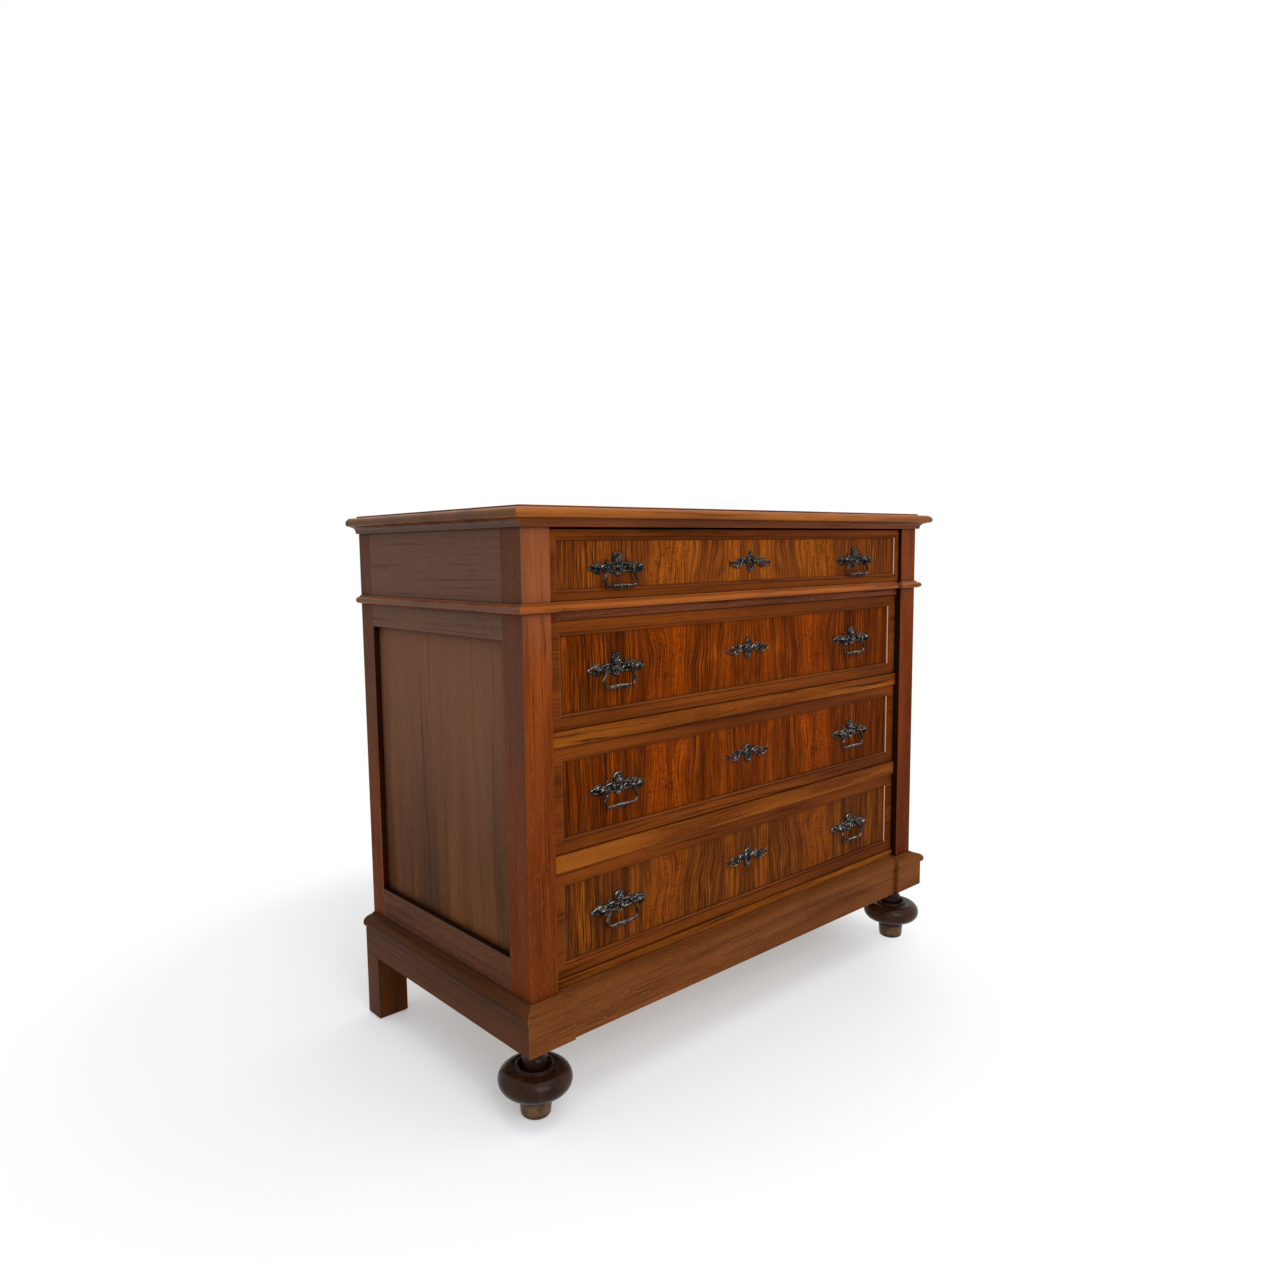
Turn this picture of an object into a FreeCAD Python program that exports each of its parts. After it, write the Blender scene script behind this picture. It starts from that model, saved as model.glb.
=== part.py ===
"""Chest of four long drawers: a walnut carcass on turned front feet, with pierced bail pulls.

Each function builds one kind of piece in building coordinates: X to the right, Y back from the
front faces of the posts, Z up from the floor.  write_node() moves it into the part's own frame,
whose origin is under the middle of the chest, on the floor.  All sizes are millimetres.
"""
import FreeCAD, Part
import math
import os

from FreeCAD import Vector

# ---------------------------------------------------------------- carcass sizes
carcass_width = 1143.0  # over the outer faces of the posts
carcass_depth = 545.0  # from the post fronts to the back
foot_height = 131.0  # floor to the underside of the plinth
front_post_size = 57.0  # square section
rear_post_width = 44.0  # along X
rear_post_depth = 46.0  # along Y
front_setback = 10.5  # rails and plinth centre stand this far behind the post fronts
tenon_length = 15.0
tenon_shoulder = 5.0  # wood left on each side of a tenon

# ---------------------------------------------------------------- drawer openings and rails
bottom_rail_height = 96.0  # plinth underside to the bottom drawer's opening
bottom_opening = 186.5
lower_rail_height = 30.0
third_opening = 184.0
upper_rail_height = 27.0
second_opening = 184.0
waist_rail_height = 31.0
top_opening = 121.5

# ---------------------------------------------------------------- sides, back and bottom
side_thickness = 20.0  # side rails and upper side board
side_bottom_rail_height = 142.0
side_middle_rail_height = 63.5
side_middle_rail_rise = 3.5  # its top above the waist rail's top
side_panel_recess = 12.0
side_panel_thickness = 8.0
panel_tongue = 6.0  # how far a panel runs into its grooves
back_thickness = 8.0
back_inset = 6.0  # back boards in from the carcass back
back_board_count = 4
dust_board_thickness = 10.0
runner_thickness = 20.0
runner_width_under_drawer = 19.5
guide_height = 20.0

# ---------------------------------------------------------------- plinth and mouldings
plinth_height = 81.0
plinth_thickness = 20.0
# the nosed top of the plinth, as (out, up) from the board's upper outer corner
PLINTH_NOSE = [(0.0, -24.5), (2.2, -22.5), (5.5, -15.5), (3.0, -9.3), (-4.7, -4.0), (-14.0, -2.0),
               (-16.0, -2.0), (-16.0, 0.0)]
plinth_centre_drop = 4.0  # centre board hangs below the corner blocks
waist_moulding_height = 16.0
waist_moulding_overhang = 12.3
waist_fillet = 3.0
waist_step_reach = 4.0  # how far its flat parts stand out
waist_steps = 6  # flats that make up its round edge
cornice_height = 14.0
cornice_overhang = 19.0
cornice_lip = 7.0  # foot of the hollow beyond the post face
cornice_fillet = 2.0
cornice_square = 1.0  # flat edge above the hollow
cornice_steps = 4  # flats that make up its hollow
slab_thickness = 16.5
slab_overhang = 28.0
slab_tip_height = 6.0  # nose tip above the slab's underside
slab_shoulder = 13.0  # where the thumbnail curve starts, in from the tip
SLAB_UNDERSIDE = [(-5.1, 0.0), (-1.2, 2.1)]  # its rounded underside, as (in from the tip, up)
field_thickness = 3.8
field_overhang = 3.5
field_rounding = 1.5

# ---------------------------------------------------------------- feet
foot_inset_x = 26.5  # foot axis in from the post's outer side
foot_inset_y = 29.5  # foot axis behind the post front
foot_bun_radius = 64.0
foot_bun_height = 42.0
foot_bun_drop = 67.0  # plinth underside to the bun's middle
foot_bun_steps = 6  # straight steps that make up the bun's curve
# collar, neck and ring above the bun, as (radius, distance below the plinth)
FOOT_NECKING = [(24.0, 0.0), (24.0, 6.0), (20.0, 9.0), (18.0, 22.0), (18.0, 29.5), (23.0, 41.5),
                (34.0, 46.0), (34.0, 49.5)]
foot_sides = 32  # flats round a foot
foot_toe_radius = 28.5
foot_toe_taper = 3.0
foot_toe_rounding = 4.0
foot_toe_shoulder = 2.0  # bun's underside to the toe's full width
foot_dowel_radius = 12.0
foot_dowel_length = 30.0
rear_leg_chamfer = 3.0

# ---------------------------------------------------------------- drawers
drawer_back_room = 27.0  # behind the closed lower drawers
drawer_front_thickness = 22.0
top_drawer_setback = 7.5  # top drawer's face behind the post fronts
lower_drawer_setback = 14.0
drawer_side_gap = 1.2  # each side of the front
drawer_bottom_gap = 1.0
drawer_top_gap = 1.0
top_drawer_top_gap = 3.5
runner_gap = 0.3  # drawer side above its runner, front behind its stop
drawer_side_thickness = 12.0
drawer_side_drop = 6.0  # sides lower than the front at the top
drawer_back_inset = 6.0
drawer_bottom_thickness = 6.0
drawer_bottom_rise = 8.0  # underside of the bottom above the sides' lower edge
groove_depth = 5.0
dovetail_lap = 14.0
dovetail_pitch = 42.0  # about this far from tail to tail
dovetail_base_share = 0.28  # half a tail's width at its root, over the pitch
dovetail_end_share = 0.36
lower_border = 20.0  # flat border above and below a lower drawer's bead
lower_side_border = 24.5
top_border = 12.5
top_side_border = 14.0
bead_width = 6.5
panel_recess = 4.5
# the bead's section, as shares of its width and of the panel's recess
BEAD_SECTION = [(0, 0), (1, 0), (1, 0.2), (0.8, 0.3), (0.8, 0.6), (0.45, 1), (0, 0.8)]
panel_thickness = 5.0
stop_length = 30.0
stop_depth = 18.0
stop_height = 6.0
stop_spacing = 600.0

# ---------------------------------------------------------------- locks
lock_width = 56.0
lock_thickness = 9.0
lock_below_key = 16.0
bolt_width = 18.0
bolt_thickness = 5.0
bolt_height = 14.0
bolt_clearance = 0.3
mortise_depth = 9.0
mortise_clearance = 1.5
key_bow_radius = 2.8
KEY_BOW_ANGLES = (-62.0, 242.0)  # from the slot's right edge round to its left edge
key_bow_steps = 6
key_slot_width = 2.6
key_slot_length = 8.5
key_pin_radius = 1.1
key_pin_sides = 6

# ---------------------------------------------------------------- pulls and key plates
hardware_shift = -9.0  # pulls and keyholes stand a little left of the middle
pull_inset = 162.3  # pull centres in from the ends of the drawer fronts
lower_pull_lift = 1.5  # boss axis above the drawer front's middle
top_pull_lift = -7.0
lower_key_lift = 9.0
top_key_lift = -3.0
plate_thickness = 2.2
boss_spacing = 88.0
knob_neck_radius = 3.8
# the knob on its neck, as (forward of the hinge axis, radius)
KNOB = [(-5.3, 3.8), (-2.6, 6.2), (3.7, 5.6)]
small_turning_sides = 6  # flats round small turned pieces, pins and their holes
boss_standoff = 11.0  # hinge axis in front of the panel
# right half of the pull plate's outline: crest and band from the middle of the pull, the boss's
# pointed plate from the boss, the pendant from the middle again; each as (right, up)
PLATE_UPPER = [(0.0, 27.0), (7.4, 24.4), (9.2, 17.8), (5.7, 10.0), (20.5, 8.8), (23.9, 12.6), (27.4, 8.4)]
PLATE_BOSS = [(-6.4, 8.5), (0.0, 11.1), (8.0, 6.4), (22.5, 1.8), (22.5, -1.8), (8.0, -6.4), (0.0, -11.1),
              (-10.6, -4.6)]
PLATE_LOWER = [(8.4, -5.3), (6.8, -9.5), (0.0, -14.7)]
CREST_HOLE = (0.0, 17.8, 3.3)  # right, up and radius
BAND_HOLES = [(14.4, 2.3, 3.9), (30.4, 1.5, 2.6)]  # one of each on both sides
hole_corners = 5
pin_radius = 1.5
pin_clearance = 0.05
pin_end_play = 0.5
bail_rod_radius = 2.2
bail_top_half_width = 30.5
pin_entry = 1.2  # how far a pin reaches past the middle of its knob
# right half of the bail from its top down, as (right, below the hinge axis)
BAIL_PATH = [(27.5, 9.9), (37.5, 22.3), (36.0, 27.9), (31.0, 31.0)]
# half of the turned grip, as (distance from its middle, radius)
GRIP = [(0.0, 4.0), (9.4, 2.5), (12.8, 3.4), (17.0, 2.5)]
# right half of the key plate's outline, as (right, up)
KEY_PLATE = [(0.0, 23.5), (2.8, 16.0), (10.5, 7.0), (14.0, 2.8), (19.8, 8.5), (29.0, 3.8), (39.6, 8.0),
             (55.4, 0.5), (66.0, 7.0), (59.4, -5.2), (44.9, -2.8), (27.7, -8.0), (14.0, -3.8), (9.0, -8.5),
             (3.0, -17.0), (0.0, -23.5)]
KEY_PLATE_HOLES = [(19.8, 1.4, 3.3), (39.6, 1.4, 2.8)]

# ---------------------------------------------------------------- places worked out from the sizes
half_width = carcass_width / 2
post_inner = half_width - front_post_size
side_inner = half_width - side_thickness
rear_inner = half_width - rear_post_width
rear_front = carcass_depth - rear_post_depth
plinth_z = foot_height
bottom_opening_z = plinth_z + bottom_rail_height
lower_rail_z = bottom_opening_z + bottom_opening
third_opening_z = lower_rail_z + lower_rail_height
upper_rail_z = third_opening_z + third_opening
second_opening_z = upper_rail_z + upper_rail_height
waist_rail_z = second_opening_z + second_opening
top_opening_z = waist_rail_z + waist_rail_height
cornice_z = top_opening_z + top_opening
slab_z = cornice_z + cornice_height
field_z = slab_z + slab_thickness
side_bottom_rail_z = plinth_z + side_bottom_rail_height
side_middle_rail_top = top_opening_z + side_middle_rail_rise
side_middle_rail_z = side_middle_rail_top - side_middle_rail_height
foot_x = half_width - foot_inset_x
front_reach = max(foot_bun_radius - foot_inset_y, slab_overhang)
front_y = front_reach - (carcass_depth + front_reach) / 2
back_front = carcass_depth - back_inset - back_thickness  # front face of the back boards
drawer_half_width = post_inner - drawer_side_gap
drawer_length = back_front - drawer_back_room - lower_drawer_setback

# opening's underside, its height, setback, top gap, border, side border, pull lift, key lift
DRAWERS = {
    1: (top_opening_z, top_opening, top_drawer_setback, top_drawer_top_gap,
        top_border, top_side_border, top_pull_lift, top_key_lift),
    2: (second_opening_z, second_opening, lower_drawer_setback, drawer_top_gap,
        lower_border, lower_side_border, lower_pull_lift, lower_key_lift),
    3: (third_opening_z, third_opening, lower_drawer_setback, drawer_top_gap,
        lower_border, lower_side_border, lower_pull_lift, lower_key_lift),
    4: (bottom_opening_z, bottom_opening, lower_drawer_setback, drawer_top_gap,
        lower_border, lower_side_border, lower_pull_lift, lower_key_lift),
}


# ---------------------------------------------------------------- helpers
def box(x0, x1, y0, y1, z0, z1):
    """A box between two corners."""
    return Part.makeBox(x1 - x0, y1 - y0, z1 - z0, Vector(x0, y0, z0))


def fuse_all(shapes):
    """One solid from several that touch or overlap."""
    if len(shapes) == 1:
        return shapes[0]
    return shapes[0].fuse(shapes[1:]).removeSplitter()


def cut_all(shape, tools):
    """Takes every tool out of a shape."""
    return shape.cut(list(tools))


def mirrored(shape):
    """The same piece on the other side of the chest."""
    return shape.mirror(Vector(0, 0, 0), Vector(1, 0, 0))


def outline(points, place):
    """A face from an outline: a point alone ends a line, a (middle, end) pair ends an arc."""
    edges = []
    start = place(*points[0])
    first = start
    for step in points[1:]:
        if isinstance(step[0], tuple):
            middle, end = place(*step[0]), place(*step[1])
            edges.append(Part.Arc(start, middle, end).toShape())
        else:
            end = place(*step)
            edges.append(Part.makeLine(start, end))
        start = end
    if start.distanceToPoint(first) > 1e-6:
        edges.append(Part.makeLine(start, first))
    return Part.Face(Part.Wire(edges))


def curve_points(centre, radius, start_deg, end_deg, steps):
    """Points along an arc, for a curve drawn as short straight steps."""
    angles = [math.radians(start_deg + (end_deg - start_deg) * i / steps) for i in range(steps + 1)]
    return [(centre[0] + radius * math.cos(a), centre[1] + radius * math.sin(a)) for a in angles]


def level_arc(start, end):
    """The (middle, end) of an arc that arrives level at its end."""
    across, up = end[0] - start[0], end[1] - start[1]
    radius = (across ** 2 + up ** 2) / (2 * up)
    centre = (end[0], end[1] - radius)
    turn = (math.atan2(start[1] - centre[1], start[0] - centre[0]) + math.pi / 2) / 2
    return (centre[0] + radius * math.cos(turn), centre[1] + radius * math.sin(turn)), end


def ring_points(radius, sides):
    """Corners of a regular ring with a flat to each side."""
    half = math.pi / sides
    return [(radius * math.cos(half * (2 * i + 1)), radius * math.sin(half * (2 * i + 1)))
            for i in range(sides)]


def faceted(sections, sides, place):
    """A many-sided turned form through (distance along, radius) sections, with a flat to each side."""
    rings = [[place(along, a, b) for a, b in ring_points(radius, sides)] for along, radius in sections]
    faces = [flat_face(rings[0]), flat_face(rings[-1])]
    for near, far in zip(rings, rings[1:]):
        for i in range(sides):
            faces.append(flat_face([near[i - 1], near[i], far[i], far[i - 1]]))
    solid = Part.makeSolid(Part.makeShell(faces))
    if solid.Volume < 0:
        solid.reverse()
    return solid


def flat_face(corners):
    """A flat face through its corners."""
    return Part.Face(Part.makePolygon(corners + corners[:1]))


def along_x(x, a, b):
    """A place for a turned form that lies along X."""
    return Vector(x, a, b)


def prism(points, z0, z1):
    """An upright prism over an outline in plan."""
    return outline(points, lambda x, y: Vector(x, y, z0)).extrude(Vector(0, 0, z1 - z0))


def offset_point(point, direction, distance):
    """A plan point moved along a mitre direction."""
    return point[0] + direction[0] * distance, point[1] + direction[1] * distance


def mitre_direction(first, second):
    """Where two outward directions meet: one step out along both faces at once."""
    scale = 1 + first[0] * second[0] + first[1] * second[1]
    return (first[0] + second[0]) / scale, (first[1] + second[1]) / scale


def mitred_runs(profile, path, closed=False, inner=0.0):
    """Lengths of moulding along a plan path, cut to their mitres; the profile faces right of travel.

    A profile point is (distance out from the path, height).  inner is how far it reaches inwards.
    """
    count = len(path) if closed else len(path) - 1
    outward = []
    for i in range(count):
        (x0, y0), (x1, y1) = path[i], path[(i + 1) % len(path)]
        length = math.hypot(x1 - x0, y1 - y0)
        outward.append(((y1 - y0) / length, -(x1 - x0) / length))
    flat = [p for step in profile for p in (step if isinstance(step[0], tuple) else (step,))]
    reach = max(p[0] for p in flat) + 1
    low, high = min(p[1] for p in flat) - 1, max(p[1] for p in flat) + 1
    runs = []
    for i in range(count):
        start, end = path[i], path[(i + 1) % len(path)]
        here = outward[i]
        before = outward[i - 1] if closed or i > 0 else here
        after = outward[(i + 1) % count] if closed or i < count - 1 else here
        first, last = mitre_direction(before, here), mitre_direction(here, after)
        plan = [offset_point(start, first, -inner), offset_point(start, first, reach),
                offset_point(end, last, reach), offset_point(end, last, -inner)]
        along = Vector(-here[1], here[0], 0)
        spare = reach + inner + 1
        origin = Vector(start[0], start[1], 0) - along * spare
        length = math.hypot(end[0] - start[0], end[1] - start[1]) + 2 * spare
        face = outline(profile, lambda p, z: origin + Vector(here[0], here[1], 0) * p + Vector(0, 0, z))
        runs.append(face.extrude(along * length).common(prism(plan, low, high)))
    return runs


def write_node(name, shapes):
    """Moves a node into the part's frame and writes its STEP file."""
    shape = shapes[0] if len(shapes) == 1 else Part.makeCompound(shapes)
    shape = shape.copy()
    shape.translate(Vector(0, front_y, 0))
    shape.exportStep("parts/" + name + ".step")


# ---------------------------------------------------------------- carcass pieces
def front_rail(z0, height):
    """A rail between the front posts, with a tenon into each."""
    board = box(-post_inner, post_inner, front_setback, front_post_size, z0, z0 + height)
    reach = post_inner + tenon_length
    tenons = box(-reach, reach, front_setback + tenon_shoulder, front_post_size - tenon_shoulder,
                 z0 + tenon_shoulder, z0 + height - tenon_shoulder)
    return fuse_all([board, tenons])


def side_rail(z0, z1):
    """A rail of the left side frame, between the front and the rear post."""
    board = box(-half_width, -side_inner, front_post_size, rear_front, z0, z1)
    tenons = box(-half_width + tenon_shoulder, -side_inner - tenon_shoulder,
                 front_post_size - tenon_length, rear_front + tenon_length,
                 z0 + tenon_shoulder, z1 - tenon_shoulder)
    return fuse_all([board, tenons])


def side_panel():
    """The recessed panel of the left side, its edges running into grooves."""
    x0 = -half_width + side_panel_recess
    return box(x0, x0 + side_panel_thickness, front_post_size - panel_tongue, rear_front + panel_tongue,
               side_bottom_rail_z - panel_tongue, side_middle_rail_z + panel_tongue)


def back_boards():
    """Upright boards let into the rear posts."""
    width = 2 * (rear_inner + panel_tongue) / back_board_count
    boards = []
    for i in range(back_board_count):
        x0 = -rear_inner - panel_tongue + i * width
        boards.append(box(x0, x0 + width, back_front, back_front + back_thickness,
                          dust_board_z(), cornice_z))
    return boards


def dust_board_z():
    """Underside of the dust board, which carries against the bottom drawer's runners."""
    return bottom_opening_z - runner_thickness - dust_board_thickness


def dust_board():
    """The board that closes the carcass below the bottom drawer, notched round the posts."""
    z0 = dust_board_z()
    corners = [(-side_inner, front_post_size), (side_inner, front_post_size), (side_inner, rear_front),
               (rear_inner, rear_front), (rear_inner, back_front), (-rear_inner, back_front),
               (-rear_inner, rear_front), (-side_inner, rear_front)]
    return prism(corners, z0, z0 + dust_board_thickness)


def runner(rail_top):
    """An L-shaped runner and guide for the left side of one drawer."""
    inner_edge = -post_inner + runner_width_under_drawer
    points = [(-side_inner, rail_top - runner_thickness), (inner_edge, rail_top - runner_thickness),
              (inner_edge, rail_top), (-post_inner, rail_top), (-post_inner, rail_top + guide_height),
              (-side_inner, rail_top + guide_height)]
    section = outline(points, lambda x, z: Vector(x, front_post_size, z))
    return section.extrude(Vector(0, rear_front - front_post_size, 0))


def drawer_stops(number):
    """Two blocks on the rail, just behind the closed drawer's front."""
    z0, setback = DRAWERS[number][0], DRAWERS[number][2]
    y0 = setback + drawer_front_thickness + runner_gap
    stops = []
    for x in (-stop_spacing / 2, stop_spacing / 2):
        stops.append(box(x - stop_length / 2, x + stop_length / 2, y0, y0 + stop_depth, z0,
                         z0 + stop_height))
    return stops


def front_foot():
    """The left turned foot: collar, necking, ring, bun and toe on one axis, with its dowel."""
    bulge = foot_bun_height / 2
    bun = curve_points((foot_bun_radius - bulge, foot_bun_drop), bulge, -90, 90, foot_bun_steps)
    toe_end = foot_toe_radius - foot_toe_taper
    profile = [(foot_dowel_radius, -foot_dowel_length), (foot_dowel_radius, 0.0)] + FOOT_NECKING + bun
    profile += [(foot_toe_radius, bun[-1][1] + foot_toe_shoulder), (toe_end, foot_height - foot_toe_rounding),
                (toe_end - foot_toe_rounding, foot_height)]
    flat_to_corner = math.cos(math.pi / foot_sides)
    sections = [(foot_height - drop, radius / flat_to_corner) for radius, drop in profile]
    return faceted(sections, foot_sides, lambda z, a, b: Vector(a - foot_x, b + foot_inset_y, z))


def rear_leg():
    """The left square rear leg, its outer face flush with the plinth."""
    leg = box(-half_width - plinth_thickness, -rear_inner, rear_front, carcass_depth, 0, foot_height)
    lower = [edge for edge in leg.Edges if edge.BoundBox.ZMax < 1e-6]
    return leg.makeChamfer(rear_leg_chamfer, lower)


# ---------------------------------------------------------------- mouldings
def front_path():
    """The plan line round the left side and the front, breaking forward over both posts."""
    left = [(-half_width, carcass_depth), (-half_width, 0), (-post_inner, 0), (-post_inner, front_setback)]
    return left + [(-x, y) for x, y in reversed(left)]


def plinth_profile(underside):
    """A plinth board with its nosed top and small step."""
    nose = [(plinth_thickness + out, plinth_height + up) for out, up in PLINTH_NOSE]
    return [(0, underside), (plinth_thickness, underside)] + nose + [(0, plinth_height)]


def plinth():
    """Side boards, corner blocks and the lower-hanging centre board."""
    runs = mitred_runs(plinth_profile(0.0), front_path())
    centre = mitred_runs(plinth_profile(-plinth_centre_drop), front_path())[3]
    for piece in runs + [centre]:
        piece.translate(Vector(0, 0, plinth_z))
    left, right = runs[0], runs[6]
    blocks = [fuse_all(runs[1:3]), fuse_all(runs[4:6])]
    return left, right, [blocks[0], centre, blocks[1]]


def waist_moulding():
    """The rounded moulding at the waist, in mitred lengths."""
    top, out = waist_moulding_height, waist_moulding_overhang
    base = waist_step_reach
    middle = (top - waist_fillet) / 2
    round_edge = curve_points((base, middle), 1.0, -90, 90, waist_steps)
    profile = [(0, 0)]
    profile += [(base + (a - base) * (out - base), middle + (z - middle) * middle) for a, z in round_edge]
    profile += [(base, top), (0, top)]
    runs = mitred_runs(profile, front_path())
    for piece in runs:
        piece.translate(Vector(0, 0, top_opening_z - waist_moulding_height))
    return runs


def side_and_front_path():
    """The plain plan line round the left side, the front and the right side."""
    return [(-half_width, carcass_depth), (-half_width, 0), (half_width, 0),
            (half_width, carcass_depth)]


def cornice_frame():
    """The frame under the top: hollow moulding on three sides, plain rail at the back."""
    out, lip, fillet, top = cornice_overhang, cornice_lip, cornice_fillet, cornice_height
    hollow = curve_points((out, fillet), 1.0, 180, 90, cornice_steps)
    profile = [(-front_post_size, 0), (lip, 0)]
    profile += [(out + (a - out) * (out - lip), fillet + (z - fillet) * (top - cornice_square - fillet))
                for a, z in hollow]
    profile += [(out, top), (-front_post_size, top)]
    runs = mitred_runs(profile, side_and_front_path(), inner=front_post_size)
    rail = box(-post_inner, post_inner, rear_front, carcass_depth, 0, top)
    for piece in runs + [rail]:
        piece.translate(Vector(0, 0, cornice_z))
    runs[1] = cut_all(runs[1], [bolt_mortise(1)])
    return runs + [rail]


def top_slab():
    """The top board with its thumbnail edge on three sides."""
    out, tip, top = slab_overhang, slab_tip_height, slab_thickness
    shoulder = out - slab_shoulder
    profile = [(-front_post_size, 0)] + [(out + inward, up) for inward, up in SLAB_UNDERSIDE]
    profile += [(out, tip), level_arc((out, tip), (shoulder, top)), (-front_post_size, top)]
    runs = mitred_runs(profile, side_and_front_path(), inner=front_post_size)
    middle = box(-post_inner, post_inner, front_post_size, carcass_depth, 0, top)
    slab = fuse_all(runs + [middle])
    slab.translate(Vector(0, 0, slab_z))
    return slab


def top_field():
    """The thin veneered field on the top board, its front and side edges eased."""
    x1 = half_width + field_overhang
    field = box(-x1, x1, -field_overhang, carcass_depth, field_z, field_z + field_thickness)
    eased = [edge for edge in field.Edges
             if edge.BoundBox.ZMin > field_z + field_thickness / 2 and edge.BoundBox.YMin < carcass_depth - 1]
    return field.makeFillet(field_rounding, eased)


# ---------------------------------------------------------------- drawers
def drawer_sizes(number):
    """Limits of one drawer: its front's faces and edges, its sides' edges and its ends."""
    z0, height, setback, top_gap, border, side_border, pull_lift, key_lift = DRAWERS[number]
    front_z0 = z0 + drawer_bottom_gap
    front_z1 = z0 + height - top_gap
    middle = (front_z0 + front_z1) / 2
    return {
        "y0": setback, "y1": setback + drawer_front_thickness, "end": setback + drawer_length,
        "z0": front_z0, "z1": front_z1, "side_z0": z0 + runner_gap, "side_z1": front_z1 - drawer_side_drop,
        "panel_x": drawer_half_width - side_border, "panel_z0": front_z0 + border,
        "panel_z1": front_z1 - border, "panel_y": setback + panel_recess,
        "pull_z": middle + pull_lift, "key_z": middle + key_lift,
    }


def bead_strips(size):
    """Four mitred bead mouldings planted on the panel's edges."""
    profile = [(bead_width * across, panel_recess * forward) for across, forward in BEAD_SECTION]
    x, z0, z1 = size["panel_x"], size["panel_z0"], size["panel_z1"]
    path = [(-x, z0), (-x, z1), (x, z1), (x, z0)]
    strips = mitred_runs(profile, path, closed=True)
    for strip in strips:
        strip.rotate(Vector(0, 0, 0), Vector(1, 0, 0), 90)
        strip.translate(Vector(0, size["panel_y"], 0))
    return strips


def drawer_side(size):
    """The left side of a drawer with its dovetails."""
    x0, x1 = -drawer_half_width, -drawer_half_width + drawer_side_thickness
    z0, z1 = size["side_z0"], size["side_z1"]
    pieces = [box(x0, x1, size["y1"], size["end"], z0, z1)]
    count = max(2, round((z1 - z0) / dovetail_pitch))
    pitch = (z1 - z0) / count
    root, tip = size["y1"], size["y1"] - dovetail_lap
    for i in range(count):
        middle = z0 + pitch * (i + 0.5)
        narrow, wide = pitch * dovetail_base_share, pitch * dovetail_end_share
        corners = [(root, middle - narrow), (tip, middle - wide), (tip, middle + wide),
                   (root, middle + narrow)]
        tail = outline(corners, lambda y, z: Vector(x0, y, z)).extrude(Vector(x1 - x0, 0, 0))
        pieces.append(tail)
    return fuse_all(pieces)


def drawer_bottom(size):
    """The thin bottom, running in grooves in the front and the sides."""
    x1 = drawer_half_width - drawer_side_thickness + groove_depth
    z0 = size["side_z0"] + drawer_bottom_rise
    return box(-x1, x1, size["y1"] - groove_depth, size["end"] - drawer_back_inset, z0,
               z0 + drawer_bottom_thickness)


def drawer_back(size):
    """The back, housed in the sides and standing on the bottom."""
    x1 = drawer_half_width - drawer_side_thickness + groove_depth
    z0 = size["side_z0"] + drawer_bottom_rise + drawer_bottom_thickness
    y1 = size["end"] - drawer_back_inset
    return box(-x1, x1, y1 - drawer_side_thickness, y1, z0, size["side_z1"])


def drawer_box(size):
    """Sides, back and bottom of one drawer as separate boards."""
    bottom, back = drawer_bottom(size), drawer_back(size)
    left = cut_all(drawer_side(size), [bottom, back])
    return [left, mirrored(left), back, bottom]


def keyhole(size, y0, y1):
    """A keyhole-shaped tool from y0 to y1."""
    x, z = hardware_shift, size["key_z"]
    bow = curve_points((x, z), key_bow_radius, *KEY_BOW_ANGLES, key_bow_steps)
    half, foot = key_slot_width / 2, z - key_slot_length
    corners = [(x + half, foot)] + bow + [(x - half, foot)]
    return outline(corners, lambda a, b: Vector(a, y0, b)).extrude(Vector(0, y1 - y0, 0))


def lock_case(size):
    """The lock let into the back of the front, with a slot for its bolt and the key's pin."""
    x0, x1 = hardware_shift - lock_width / 2, hardware_shift + lock_width / 2
    y0 = size["y1"] - lock_thickness
    case = box(x0, x1, y0, size["y1"], size["key_z"] - lock_below_key, size["z1"])
    half_x = bolt_width / 2 + bolt_clearance
    half_y = bolt_thickness / 2 + bolt_clearance
    middle = bolt_y(size)
    slot = box(hardware_shift - half_x, hardware_shift + half_x, middle - half_y, middle + half_y,
               size["z1"] - bolt_height - bolt_clearance, size["z1"])
    pin = faceted([(size["panel_y"], key_pin_radius), (y0, key_pin_radius)], key_pin_sides,
                  lambda y, a, b: Vector(hardware_shift + a, y, size["key_z"] + b))
    return fuse_all([cut_all(case, [slot]), pin])


def bolt_y(size):
    """Middle of the lock's thickness."""
    return size["y1"] - lock_thickness / 2


def lock_bolt(size):
    """The bolt, drawn back flush with the top edge of the drawer front."""
    half_x, half_y, middle = bolt_width / 2, bolt_thickness / 2, bolt_y(size)
    return box(hardware_shift - half_x, hardware_shift + half_x, middle - half_y, middle + half_y,
               size["z1"] - bolt_height, size["z1"])


def bolt_mortise(number):
    """The pocket above a drawer that its shot bolt enters."""
    size = drawer_sizes(number)
    z0 = DRAWERS[number][0] + DRAWERS[number][1]
    half_x = bolt_width / 2 + mortise_clearance
    half_y = bolt_thickness / 2 + mortise_clearance
    middle = bolt_y(size)
    return box(hardware_shift - half_x, hardware_shift + half_x, middle - half_y, middle + half_y,
               z0, z0 + mortise_depth)


def drawer_front(size, box_boards):
    """The drawer front: framed border, pocket for the panel, sockets, lock recess and bead."""
    board = box(-drawer_half_width, drawer_half_width, size["y0"], size["y1"], size["z0"], size["z1"])
    pocket = box(-size["panel_x"], size["panel_x"], size["y0"], size["panel_y"] + panel_thickness,
                 size["panel_z0"], size["panel_z1"])
    recess = box(hardware_shift - lock_width / 2, hardware_shift + lock_width / 2,
                 size["y1"] - lock_thickness, size["y1"], size["key_z"] - lock_below_key, size["z1"])
    key = keyhole(size, size["y0"], size["y1"])
    board = cut_all(board, [pocket, recess, key, box_boards[0], box_boards[1], box_boards[3]])
    return [board] + bead_strips(size)


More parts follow.
